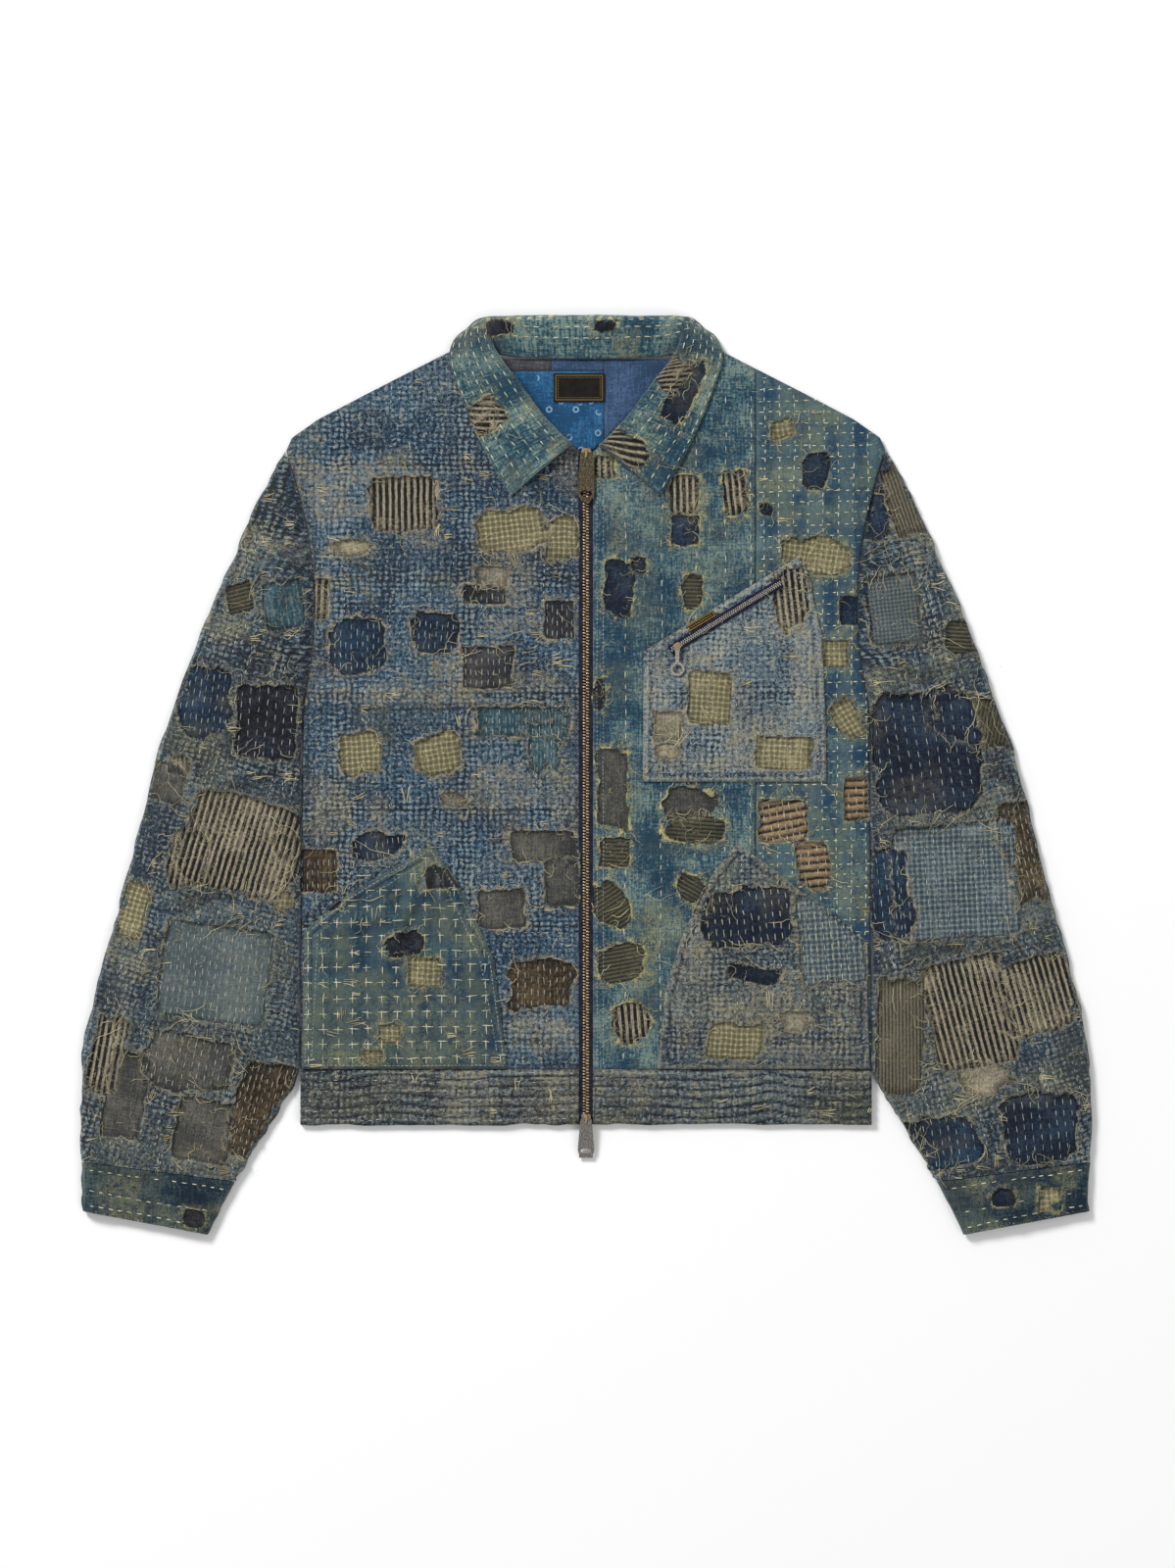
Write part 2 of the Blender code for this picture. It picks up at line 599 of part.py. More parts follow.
def make_front_zip():
    tape = finish("zip_tape_cloth", DARK_TAPE)
    brass = finish("zip_brass", BRASS, 0.40, 1.0)
    inner = CHAIN_HALF + GAP
    outer = ZIP_EDGE_X - GAP
    for side, word in ((-1, "right"), (1, "left")):
        low_x, high_x = sorted((side * inner, side * outer))
        box_piece("zip_tape_" + word, (low_x, ZIP_LOW_Y, TAPE_Z[0]), (high_x, ZIP_TOP_Y, TAPE_Z[1]), tape)
    box_piece("zip_chain", (-CHAIN_HALF, ZIP_LOW_Y, CHAIN_Z[0]), (CHAIN_HALF, ZIP_TOP_Y, CHAIN_Z[1]), brass)
    top_pivot = make_slider("zip_slider_top", (0.0, ZIP_TOP_Y), CHAIN_Z[1], 0.0, 0.0, CHAIN_HALF, 1.0,
                            finish("slider_brass", BRASS, 0.35, 1.0))
    low_pivot = make_slider("zip_slider_bottom", (0.0, LOW_SLIDER_Y), CHAIN_Z[1], pi, pi, CHAIN_HALF, 1.0,
                            finish("slider_low_brass", BRASS, 0.35, 1.0))
    make_pull("zip_pull_top", top_pivot, PULL_DROOP_TOP, tapered_pull(0.0425, 0.0050, 0.0076, 0.0030),
              oval(-0.0350, 0.0050, 0.0030), 1.0, finish("pull_old_brass", OLD_BRASS, 0.45, 1.0))
    make_pull("zip_pull_bottom", low_pivot, PULL_DROOP_BOTTOM, tapered_pull(0.0345, 0.0050, 0.0072, 0.0060),
              oval(-0.0285, 0.0046, 0.0026), 1.0, finish("pull_steel", STEEL, 0.45, 1.0))
    return top_pivot, low_pivot


def make_chest_zip():
    """The slanted zip on the chest pocket, and the small label above it."""
    (ax, ay), (bx, by) = POCKET_TOP_EDGE
    turn = atan2(by - ay, bx - ax)
    level = FRONT_Z + CLOTH + GAP + POCKET_CLOTH + GAP

    def on_edge(along, inset):
        """A place counted along the slanted edge and down from it."""
        return (ax + along * cos(turn) + inset * sin(turn), ay + along * sin(turn) - inset * cos(turn))

    centre = on_edge(POCKET_ZIP_START + POCKET_ZIP_LENGTH / 2, POCKET_ZIP_INSET)
    tape_top = level + LABEL_CLOTH
    chain_low = tape_top + GAP
    chain_high = chain_low + 0.0014
    tape = rectangle(centre, (POCKET_ZIP_LENGTH, 2 * POCKET_TAPE_HALF), turn)
    chain = rectangle(centre, (POCKET_ZIP_LENGTH - 0.002, 2 * POCKET_CHAIN_HALF), turn)
    flat_piece("pocket_zip_tape", tape, level, LABEL_CLOTH, finish("pocket_tape_cloth", DARK_TAPE))
    flat_piece("pocket_zip_chain", chain, chain_low, chain_high - chain_low,
               finish("pocket_zip_steel", STEEL, 0.40, 1.0))
    place = on_edge(POCKET_ZIP_START + 0.0075, POCKET_ZIP_INSET)
    pivot = make_slider("pocket_zip_slider", place, chain_high, turn - pi / 2, 0.0, POCKET_CHAIN_HALF,
                        POCKET_ZIP_SCALE, finish("pocket_slider_brass", BRASS, 0.35, 1.0))
    make_pull("pocket_zip_pull", pivot, PULL_DROOP_POCKET,
              ring_pull(0.0135, 0.0016, 0.0062, POCKET_ZIP_SCALE), oval(-0.0197, 0.0040, 0.0040),
              POCKET_ZIP_SCALE, finish("pocket_pull_brass", BRASS, 0.40, 1.0))
    tab_centre = on_edge(CHEST_TAB_START, CHEST_TAB_INSET)
    flat_piece("pocket_tab_label", rectangle(tab_centre, CHEST_TAB, turn), level, LABEL_CLOTH,
               finish("black_label", BLACK))
    return pivot


make_body()
make_sleeves()
make_collar()
make_lining()
pivots = (*make_front_zip(), make_chest_zip())
for pull, pivot in zip(("top", "bottom", "pocket"), pivots):
    print(pull, "pull turns about X at", [round(value, 5) for value in pivot])
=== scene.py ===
# %% [markdown]
# # A patched boro jacket, laid flat
# Boro is cloth mended so many times that the mends have become the cloth. This jacket
# is zipped up and lies on its back, so what we build is a stack of thin sheets: the back
# on the table, the fronts over it, the pockets on the fronts, and the collar on top.
# The solids in the frame give every place. Each soft piece is made again here as a fine
# grid with its own folds, holes, patches and loose threads.

from collections import namedtuple
from math import cos, hypot, pi, radians, sin

import bmesh
import bpy
import numpy as np
from mathutils import Matrix, Vector
from mathutils.bvhtree import BVHTree


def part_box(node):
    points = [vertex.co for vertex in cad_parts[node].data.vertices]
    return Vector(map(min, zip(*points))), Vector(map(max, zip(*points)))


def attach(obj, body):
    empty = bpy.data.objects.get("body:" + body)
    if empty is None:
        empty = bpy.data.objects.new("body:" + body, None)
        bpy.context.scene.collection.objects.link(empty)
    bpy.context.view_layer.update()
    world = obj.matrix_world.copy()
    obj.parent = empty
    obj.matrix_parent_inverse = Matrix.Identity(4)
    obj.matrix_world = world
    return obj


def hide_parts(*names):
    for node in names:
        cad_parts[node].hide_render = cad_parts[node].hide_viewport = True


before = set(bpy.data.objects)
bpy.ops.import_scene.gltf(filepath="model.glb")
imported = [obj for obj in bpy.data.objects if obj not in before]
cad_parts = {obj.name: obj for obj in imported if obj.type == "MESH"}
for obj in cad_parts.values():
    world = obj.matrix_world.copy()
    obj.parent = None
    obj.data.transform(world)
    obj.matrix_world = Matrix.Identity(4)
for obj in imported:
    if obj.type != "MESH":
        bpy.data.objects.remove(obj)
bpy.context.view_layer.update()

# %% [markdown]
# ## Eye, table and light
# A flat garment is looked at straight from above, from far away, so that its outline
# stays true. A long lens on a high camera does that. The table is a plain pale plane.
# One wide lamp hangs above the left shoulder: it is large enough for soft shadows, and
# low enough for every fold and thread to throw one.

# %% Camera
EYE_HEIGHT = 4.5
VIEW_HEIGHT = 1.360
lens = bpy.data.cameras.new("eye")
lens.sensor_fit = "VERTICAL"
lens.sensor_height = 36.0
lens.lens = lens.sensor_height * EYE_HEIGHT / VIEW_HEIGHT
scene = bpy.context.scene


def add_object(name, data):
    """A new object in the scene, at the origin."""
    made = bpy.data.objects.new(name, data)
    scene.collection.objects.link(made)
    return made


eye = add_object("eye", lens)
eye.location = (0.0013, -0.0080, EYE_HEIGHT)
scene.camera = eye
print("lens, mm:", round(lens.lens, 1))

# %% Table and lamps
bpy.ops.mesh.primitive_plane_add(size=12.0, location=(0.0, 0.0, -0.0004))
table = bpy.context.object
table.name = "table"
paper = bpy.data.materials.new("table_paper")
paper.use_nodes = True
paper_inputs = paper.node_tree.nodes["Principled BSDF"].inputs
paper_inputs["Base Color"].default_value = (0.93, 0.93, 0.93, 1)
paper_inputs["Roughness"].default_value = 0.95
table.data.materials.append(paper)


def lamp(name, place, aim, size, power):
    """A square soft lamp that looks from its place at a point."""
    light = bpy.data.lights.new(name, "AREA")
    light.size = size
    light.energy = power
    holder = add_object(name, light)
    holder.location = place
    holder.rotation_euler = (Vector(aim) - Vector(place)).to_track_quat("-Z", "Y").to_euler()


lamp("key", (-3.4, 4.2, 4.0), (0, 0, 0), 1.8, 430)
lamp("fill", (4.0, -3.4, 5.0), (0, 0, 0), 4.0, 90)
sky = bpy.data.worlds.new("studio")
sky.use_nodes = True
background = sky.node_tree.nodes["Background"].inputs
background["Color"].default_value = (1.0, 1.0, 1.0, 1)
background["Strength"].default_value = 0.46
scene.world = sky
scene.view_settings.view_transform = "Standard"
print("lamps:", [thing.name for thing in scene.objects if thing.type == "LIGHT"])

# %% [markdown]
# ## How the cloth lies
# Lengths are counted outwards from the zip, and `side` is -1 for the wearer's right and
# +1 for the left. Every sheet is a grid of cells a little under 3 mm. Heights come from
# one field for the whole body, so the layers rise together and never cross: broad folds
# where air is trapped, then creases, then the small unevenness of mended cloth.

# %% Sizes from the pattern
CELL = 0.0027               # one step of a cloth's grid
CLOTH = 0.0022
FRONT_TOP = 0.0047          # upper face of a front that lies flat
POCKET_TOP = 0.0073
ZIP_EDGE_X = 0.0060
SIDE_SEAM_X = 0.1470
HEM_SEAM_Y = -0.2550
HEM_Y = -0.3030
GAP = 0.0003
FRONT_X = 0.2600            # widest place of the fronts, at the shoulder's end
SHOULDER_Y = 0.3780
CHEST_ZIP = ((0.066, 0.102), (0.185, 0.176))
CHEST_ZIP_TURN = radians(31.46)
NECK = (0.066, 0.322)       # a point on the neck, where the collar holds the fronts down
EDGE_Y = [-0.2550, 0.0580, 0.0802, 0.1024, 0.1246, 0.1468, 0.1690, 0.1912, 0.2134, 0.2356,
          0.2578, 0.2800, 0.2920, 0.3080, 0.3300, 0.3530, 0.3780]
INNER_X = [0.0060] * 12 + [0.0200, 0.0360, 0.0580, 0.0760, 0.0880]
OUTER_X = [0.2475, 0.2455, 0.2408, 0.2375, 0.2356, 0.2350, 0.2358, 0.2380, 0.2415, 0.2463,
           0.2524, 0.2600, 0.2550, 0.2320, 0.1900, 0.1450, 0.0960]


def mix(a, b, t):
    """Goes from a to b as t goes from 0 to 1."""
    return a + (b - a) * t


def ease(value, low, high):
    """0 below low, 1 above high, and smooth between them."""
    t = np.clip((value - low) / (high - low), 0.0, 1.0)
    return t * t * (3 - 2 * t)


SCRAMBLE = (127.1, 311.7, 74.7, 43758.5453)     # any big numbers make a value look random


def ripple(x, y, size, seed=0):
    """Smooth bumps about `size` across, from -1 to 1, the same on every run."""
    u, v = x / size, y / size
    i, j = np.floor(u), np.floor(v)
    a, b = u - i, v - j
    a, b = a * a * (3 - 2 * a), b * b * (3 - 2 * b)

    def corner(p, q):
        value = np.sin(p * SCRAMBLE[0] + q * SCRAMBLE[1] + seed * SCRAMBLE[2]) * SCRAMBLE[3]
        return 2 * (value - np.floor(value)) - 1

    low = mix(corner(i, j), corner(i + 1, j), a)
    high = mix(corner(i, j + 1), corner(i + 1, j + 1), a)
    return mix(low, high, b)


print("shoulder width, mm:", 2000 * max(OUTER_X))

# %% Folds and creases
# In a table of folds each has its place, turn, length, width and rise, in millimetres
# and degrees. In all tables here, a new line or a semicolon starts the next row.
Fold = namedtuple("Fold", "x y turn length width rise")


def rows_of(text):
    """The words of each row of a table written as text."""
    return [row.split() for row in text.replace("\n", ";").split(";") if row.strip()]


def metres(*words):
    """Numbers of a table that are in millimetres, made metres."""
    return [float(word) / 1000 for word in words]


def folds(text):
    """Reads a table of folds."""
    return [Fold(*metres(x, y), radians(float(turn)), *metres(*sizes))
            for x, y, turn, *sizes in rows_of(text)]


BODY_FOLDS = folds("""
    -165 150 38 70 22 2.6; -60 60 84 110 20 1.6; -170 10 12 60 20 1.6; -95 -175 70 70 26 1.8
    145 238 -36 38 16 1.8; 52 20 97 110 14 1.3; 190 -80 -15 55 22 2; 100 -180 105 70 28 1.8
    -205 215 62 60 10 1.6; -190 238 30 50 7 -1; -120 254 12 60 6 -0.9; -130 57 1 115 4.5 -1.4
    -140 64 1 100 6 0.9; -210 105 96 60 8 1.2; -105 180 4 80 6 -0.8; -150 -35 -4 80 7 1
    -40 -100 80 70 8 0.9; -225 -20 84 60 10 1.2; -70 110 92 50 7 0.8; -110 -60 28 50 6 -1
    60 185 95 60 10 1; 190 290 -28 50 8 1.2; 100 215 82 50 7 -0.8; 215 170 80 60 9 1.2
    40 -70 80 50 8 1; 120 -40 6 60 6 0.8; 225 -60 96 60 8 1.2; 30 -200 86 40 7 0.8
    -155 -170 8 80 6 0.8; -120 -110 60 45 5 -0.9; -180 -215 4 70 6 -0.7; 150 -110 62 50 6 1
    180 -190 -6 70 7 0.9; 120 -225 10 50 6 -0.7; -128 -95 84 30 4 1.2; -146 -105 62 36 4 1.2
    -113 -110 106 32 4 1.1; -137 -100 73 34 3 -0.9; 30 110 88 60 5 0.8; 52 130 86 70 4 -0.7
    110 270 -60 30 5 1; 205 235 60 30 5 1; -220 170 80 40 5 1; -90 275 40 40 5 0.9
""")


FOLD_STRENGTH = 1.3


def turned_to(thing, x, y):
    """Where (x, y) is from a fold, scrap or tone, along its turn and across it."""
    c, s = cos(thing.turn), sin(thing.turn)
    return (x - thing.x) * c + (y - thing.y) * s, (y - thing.y) * c - (x - thing.x) * s


def squareness(thing, x, y, power):
    """1 on the rounded rectangle of a scrap or tone, less inside it and more outside."""
    along, aside = turned_to(thing, x, y)
    a, b = np.abs(along) / (thing.w / 2), np.abs(aside) / (thing.h / 2)
    return (a ** power + b ** power) ** (1 / power)


def fold_rise(x, y, folds):
    """Height that a table of folds adds at (x, y)."""
    rise = np.zeros_like(x)
    for fold in folds:
        along, aside = turned_to(fold, x, y)
        rise += FOLD_STRENGTH * fold.rise * np.exp(-(along / fold.length) ** 2 - (aside / fold.width) ** 2)
    return rise


def line_distance(x, y, start, end):
    """Distance from (x, y) to a straight stretch."""
    (ax, ay), (bx, by) = start, end
    length = (bx - ax) ** 2 + (by - ay) ** 2
    t = np.clip(((x - ax) * (bx - ax) + (y - ay) * (by - ay)) / length, 0.0, 1.0)
    return np.hypot(x - ax - t * (bx - ax), y - ay - t * (by - ay))


def body_rise(x, y):
    """How far the fronts stand above their flat place."""
    outer = np.interp(y, EDGE_Y, OUTER_X)
    free = ease(np.abs(x), 0.010, 0.060) * ease(outer - np.abs(x), 0.0, 0.035)
    free = free * ease(y, HEM_SEAM_Y, HEM_SEAM_Y + 0.030) * ease(0.372 - y, 0.0, 0.030)
    free = free * ease(np.hypot(np.abs(x) - NECK[0], y - NECK[1]), 0.062, 0.095)
    free = free * np.where(x > 0, ease(line_distance(x, y, *CHEST_ZIP), 0.012, 0.040), 1.0)
    air = 0.0019 + 0.0012 * ripple(x, y, 0.090, 3) + 0.0006 * ripple(x, y, 0.045, 4)
    return free * (air + fold_rise(x, y, BODY_FOLDS))


def nubs(x, y, amount=1.0):
    """Unevenness of cloth that has been darned all over."""
    return amount * (0.00040 * ripple(x, y, 0.0190, 11) + 0.00034 * ripple(x, y, 0.0085, 12))


spots = np.meshgrid(np.linspace(-0.25, 0.25, 200), np.linspace(-0.25, 0.36, 200))
print("highest the fronts stand, mm:", round(1000 * float(body_rise(*spots).max()), 2))

# %% [markdown]
# ## Dyeing the cloths
# Every cloth here is a pattern of threads seen through wear. All patterns read one map,
# "cloth", that holds the place on the flat cut in metres, so a stripe keeps its real
# width and turns with its sleeve. Five numbers are kept at each point of the cloth:
# how far it is from a hole's edge, how far it lies in a hollow, and how pale, how deep or
# how mossy the dye is there. The hollow number becomes painted shade in hollows and a
# painted highlight on crests, and the deep number also holds painted shade beside seams
# and in grooves. What several cloths share is a node group with its own inputs.

# %% Short ways to add nodes
class Value:
    """What a node gives out. Signs of arithmetic between values add Math nodes."""

    def __init__(self, socket):
        self.socket = socket

    def clamp(self):
        """Keeps the last result from 0 to 1."""
        self.socket.node.use_clamp = True
        return self


def add_sign(name, operation, turned=False):
    """Teaches Value one sign. A turned sign has the value on its right."""
    def act(self, *other):
        terms = (*other, self) if turned else (self, *other)
        return Graph(self.socket.id_data).math(operation, *terms)

    setattr(Value, name, act)


for name in ("add", "subtract", "multiply"):
    add_sign(f"__{name[:3]}__", name.upper())
    add_sign(f"__r{name[:3]}__", name.upper(), turned=True)
for name, operation in {
        "__truediv__": "DIVIDE", "__pow__": "POWER", "__abs__": "ABSOLUTE", "sine": "SINE", "root": "SQRT",
        "fract": "FRACT", "max": "MAXIMUM", "min": "MINIMUM", "above": "GREATER_THAN"}.items():
    add_sign(name, operation)


class Graph:
    """Adds nodes to one tree, a line each."""

    def __init__(self, tree):
        self.tree = tree

    def node(self, kind, **settings):
        made = self.tree.nodes.new("ShaderNode" + kind)
        for name, value in settings.items():
            setattr(made, name, value)
        return made

    def feed(self, sockets, **values):
        """Gives each named socket a value, a number or a colour as dyers write it."""
        for name, value in values.items():
            socket = sockets[int(name[1:]) if name[1:].isdigit() else name.replace("_", " ")]
            if isinstance(value, Value):
                self.tree.links.new(value.socket, socket)
            else:
                socket.default_value = dye(value) if isinstance(value, str) else value

    def values(self, kind, inputs, **settings):
        """Adds a node, feeds its first inputs, and gives what comes out, by name."""
        made = self.node(kind, **settings)
        self.feed(made.inputs, **inputs)
        return {socket.name: Value(socket) for socket in made.outputs}

    def first(self, kind, inputs, **settings):
        return next(iter(self.values(kind, inputs, **settings).values()))

    def math(self, operation, a, b=0.0):
        return self.first("Math", {"_0": a, "_1": b}, operation=operation)

    def blend(self, share, a, b, how="MIX"):
        made = self.node("Mix", data_type="RGBA", blend_type=how)
        self.feed(made.inputs, _0=share, _6=a, _7=b)
        return Value(made.outputs[2])

    def span(self, value, low, high, to_low=0.0, to_high=1.0):
        """Goes smoothly from to_low to to_high as a value goes from low to high."""
        return self.first("MapRange", {"_0": value, "_1": low, "_2": high, "_3": to_low, "_4": to_high},
                          interpolation_type="SMOOTHSTEP")

    def noise(self, vector, size, detail=2.0, stretch=None, rough=0.5):
        """Cloudy noise with bumps about `size` metres across."""
        if stretch:
            vector = self.first("VectorMath", {"_0": vector, "_1": (*stretch, 1.0)}, operation="MULTIPLY")
        return self.first("TexNoise", {"Vector": vector, "Scale": 1.0 / size, "Detail": detail,
                                       "Roughness": rough}, noise_dimensions="2D")

    def split(self, vector):
        made = self.values("SeparateXYZ", {"_0": vector})
        return made["X"], made["Y"]

    def mark(self, name):
        """One of the numbers kept at each point of the cloth."""
        return self.values("Attribute", {}, attribute_name=name)["Fac"]

    def grey(self, value):
        """A grey of a given strength, to multiply a colour by."""
        return self.first("CombineColor", {"_0": value, "_1": value, "_2": value})

    def place(self, group, **inputs):
        """Puts a node group here with its own values."""
        return self.values("Group", inputs, node_tree=group)


def dye(text):
    """A colour as dyers write it on a swatch, made linear."""
    parts = [int(text[n:n + 2], 16) / 255 for n in (1, 3, 5)]
    return (*[c / 12.92 if c <= 0.04045 else ((c + 0.055) / 1.055) ** 2.4 for c in parts], 1.0)


SOCKETS = {"v": "NodeSocketFloat", "c": "NodeSocketColor", "p": "NodeSocketVector"}


def new_group(name, inputs, outputs):
    """An empty node group. Inputs and outputs are {name: kind or (kind, value)}."""
    tree = bpy.data.node_groups.new(name, "ShaderNodeTree")
    for way, labels in (("INPUT", inputs), ("OUTPUT", outputs)):
        for label, kind in labels.items():
            kind, *value = kind
            socket = tree.interface.new_socket(label, in_out=way, socket_type=SOCKETS[kind])
            for number in value:
                socket.default_value = dye(number) if kind == "c" else number
    entry, leave = (tree.nodes.new("NodeGroup" + way) for way in ("Input", "Output"))
    return tree, Graph(tree), {socket.name: Value(socket) for socket in entry.outputs}, leave.inputs


# %% [markdown]
# ### What the cloths share
# A weave is two sets of threads that pass over and under each other; the product of two
# sine waves gives their crowns. Stripes, checks and corduroy are all bands, so one band
# group makes them. Slub tweed is spun from uneven yarn: pale nubs a few millimetres long
# over blue, thick in some places and worn off in others.

# %% Group: plain weave
weave, g, given, out = new_group("plain_weave", {"Vector": "p", "Pitch": ("v", 0.001)},
                                 {"Height": "v", "Over": "v"})
across, along = g.split(given["Vector"])
crossing = (across * pi / given["Pitch"]).sine() * (along * pi / given["Pitch"]).sine()
g.feed(out, Height=abs(crossing) ** 0.5, Over=crossing.above(0.0))

# %% Group: bands
bands, g, given, out = new_group(
    "bands", {"Across": "v", "Vector": "p", "Pitch": ("v", 0.005), "Share": ("v", 0.5),
              "Wobble": ("v", 0.1), "Soft": ("v", 0.12)}, {"Mask": "v", "Crown": "v"})
sway = (g.noise(given["Vector"], 0.011) - 0.5) * given["Wobble"]
phase = (given["Across"] / given["Pitch"] + sway).fract()
middle = abs(phase - 0.5) * 2.0
share, soft = given["Share"], given["Soft"]
g.feed(out, Mask=g.span(middle, share + soft, share - soft),
       Crown=(1.0 - (middle / share) ** 2.0).clamp().root())

# %% Group: slub tweed
MEND_STEP = 0.100           # the big mends stand in a frame of about this pitch
FRAME_Y = -0.019
slub, g, given, out = new_group(
    "slub_tweed", {"Vector": "p", "Deep": "c", "Mid": "c", "Pale": "c", "Warm": ("c", "#595754"),
                   "Flecks": ("v", 0.5), "Ladder": ("v", 1.0)}, {"Colour": "c", "Height": "v"})
spot = given["Vector"]
across, along = g.split(spot)
nub = g.noise(spot, 0.0030, 3.0, rough=0.70) + (g.noise(spot, 0.0012, 1.0) - 0.5) * 0.60
sway = g.noise(spot, 0.014) * 4.0
column = abs((across * (pi / 0.0054) + sway).sine())
rung = abs((along * (pi / 0.0046) + sway).sine())
mends = g.values("TexVoronoi", {"Vector": spot, "Scale": 1 / 0.040}, voronoi_dimensions="2D",
                 distance="CHEBYCHEV")
shade, warmth = g.split(mends["Color"])
post = g.place(bands, Across=across + 0.050, Vector=spot, Pitch=0.108, Share=0.15, Wobble=0.12, Soft=0.05)
beam = g.place(bands, Across=along + FRAME_Y, Vector=spot, Pitch=MEND_STEP, Share=0.14, Wobble=0.12,
               Soft=0.05)
crossing = post["Mask"] * beam["Mask"]
ladder = post["Mask"].max(beam["Mask"]) * given["Ladder"]
cell = (column + rung - 1.27) * (0.12 + ladder * 0.17)
# deep darkens both for dye that held and for painted shade by seams; hollow is painted shade in hollows.
tone = (nub + cell + (shade - 0.5) * 0.14 + (given["Flecks"] - 0.5) * 0.30 + g.mark("pale") * 0.04
        - g.mark("deep") * 0.10 - g.mark("hollow") * 0.13)
bare = g.noise(spot, 0.0150, 3.0, rough=0.6) + crossing * 0.40
bare = g.span(bare + g.mark("pale") * 0.20, 0.60, 0.72)
tone = tone + bare * 0.07
seam = g.place(bands, Across=along + FRAME_Y, Vector=spot, Pitch=MEND_STEP, Share=0.016, Wobble=0.12,
               Soft=0.012)
tone = tone - seam["Mask"] * given["Ladder"] * 0.22
mid = g.blend(g.span(warmth, 0.45, 0.80) * 0.36, given["Mid"], given["Warm"])
pale = g.blend(bare * 0.80, given["Pale"], "#b5a97c")
colour = g.blend(g.span(tone, 0.36, 0.48), given["Deep"], mid)
colour = g.blend(g.span(tone, 0.48, 0.76) * 0.75, colour, pale)
tuft = g.noise(spot, 0.0027, stretch=(1.0, 0.45)).max(g.noise(spot, 0.0027, stretch=(0.45, 1.0)))
tuft = g.span(tuft + cell * 0.7, 0.60, 0.70) * g.span(tone, 0.36, 0.50)
colour = g.blend(tuft * 0.75, colour, g.blend(0.45, pale, "#c2c6bd"))
colour = g.blend(g.span(tone, 0.41, 0.30) * 0.90, colour, "#0c121b")
g.feed(out, Colour=colour, Height=tone * 1.6)

# %% Group: clouds of worn dye, with painted shade and highlight at creases
dyed, g, given, out = new_group(
    "worn_dye", {"Vector": "p", "Deep": "c", "Mid": "c", "Pale": "c", "Contrast": ("v", 1.0)},
    {"Colour": "c", "Height": "v"})
spot = given["Vector"]
cloud = g.noise(spot, 0.042, 4.0, rough=0.62)
warp = g.noise(spot, 0.0015, 1.0, stretch=(1.0, 0.09))
weft = g.noise(spot, 0.0015, 1.0, stretch=(0.09, 1.0))
grain = g.noise(spot, 0.0022, rough=0.6)
# Creases: painted shade along each thin crease line, and a painted highlight, partly wear, beside it. The
# hollow mark adds painted shade.
crumple = abs(g.noise(spot, 0.016, 4.0, rough=0.62) - 0.5)
line = g.span(crumple, 0.014, 0.003)
beside = g.span(crumple, 0.050, 0.014) - line
tone = (cloud + (warp - 0.5) * 0.46 + (weft - 0.5) * 0.34 + (grain - 0.5) * 0.64 + beside * 0.09
        - line * 0.27 - g.mark("hollow") * 0.07)
colour = g.blend(g.span(tone, 0.36, 0.56), given["Deep"], given["Mid"])
colour = g.blend(g.span(tone, 0.52, 0.74), colour, given["Pale"])
colour = g.blend(given["Contrast"], given["Mid"], colour)
g.feed(out, Colour=colour, Height=warp * 0.6 + weft * 0.6 - line * 0.9)

# %% Group: ageing, which tints the dye and frays the rims, with painted shade in hollows and inside rims and a painted highlight on crests
WORN, DARK = "#a39a80", "#1b3350"
age_and_shade_group, g, given, out = new_group(
    "cloth_age", {"Vector": "p", "Colour": "c", "Worn": ("c", WORN), "Dark": ("c", DARK),
                  "Moss": ("c", "#777a5c"), "Tint": ("v", 1.0), "Fray": ("v", 1.0)},
    {"Colour": "c", "Height": "v"})
spot, tint = given["Vector"], given["Tint"]
rough_patch = g.noise(spot, 0.0060, 3.0, rough=0.65)
thread = g.noise(spot, 0.0013)
torn = rough_patch * 0.75 + thread * 0.75
pale = g.span(torn, 0.55, 0.95) * g.mark("pale")
# deep holds dye that held, and also painted shade beside seams, in pocket seam grooves and between quilting
# rows.
deep = g.span(torn, 0.95, 0.45) * g.mark("deep")
moss = g.span(torn, 0.50, 0.90) * g.mark("moss")
colour = g.blend(pale * 0.85 * tint, given["Colour"], given["Worn"])
colour = g.blend(deep * 0.80 * tint, colour, given["Dark"])
colour = g.blend(moss * 0.50 * tint, colour, given["Moss"])
rim = g.mark("rim") + (thread - 0.5) * 0.0030
some = g.span(g.noise(spot, 0.0120, 3.0), 0.49, 0.62)
lip = g.span(rim, 0.0017, 0.0008) * g.span(rim, -0.0006, 0.0001)
nap = g.span(rim, 0.0065, 0.0008) * g.span(rim, 0.0, 0.0006) * g.span(torn, 0.72, 0.95)
fuzz = (lip * (0.02 + some * 0.90) + nap).clamp()
# Painted shade and highlight: cloth in a hollow is darkened, and cloth on a crest is lightened.
hollow = g.mark("hollow")
colour = g.blend(g.span(hollow, 0.25, 1.0) * 0.55, colour, "#0e151e")
colour = g.blend(g.span(hollow, -0.30, -1.0) * 0.60, colour, "#4a5157", how="SCREEN")
colour = g.blend(fuzz * given["Fray"] * 0.90, colour, given["Worn"])
# Painted shadow just inside each rim, under the torn edge of the upper cloth.
inside = g.span(rim, 0.0001, -0.0006) * g.span(rim, -0.0046, -0.0008)
colour = g.blend(inside * 0.46, colour, "#0a0e14")
g.feed(out, Colour=colour, Height=fuzz * 0.8)
print("groups:", [group.name for group in bpy.data.node_groups])

# %% [markdown]
# ### The cloths
# Each cloth gets a colour and a height from the groups above, and then the same last
# steps: ageing with painted shade and highlight, a fine weave over everything, and one
# Principled shader. Sheen is what makes brushed cotton look soft at a glancing angle, so
# it is set on the shader itself.

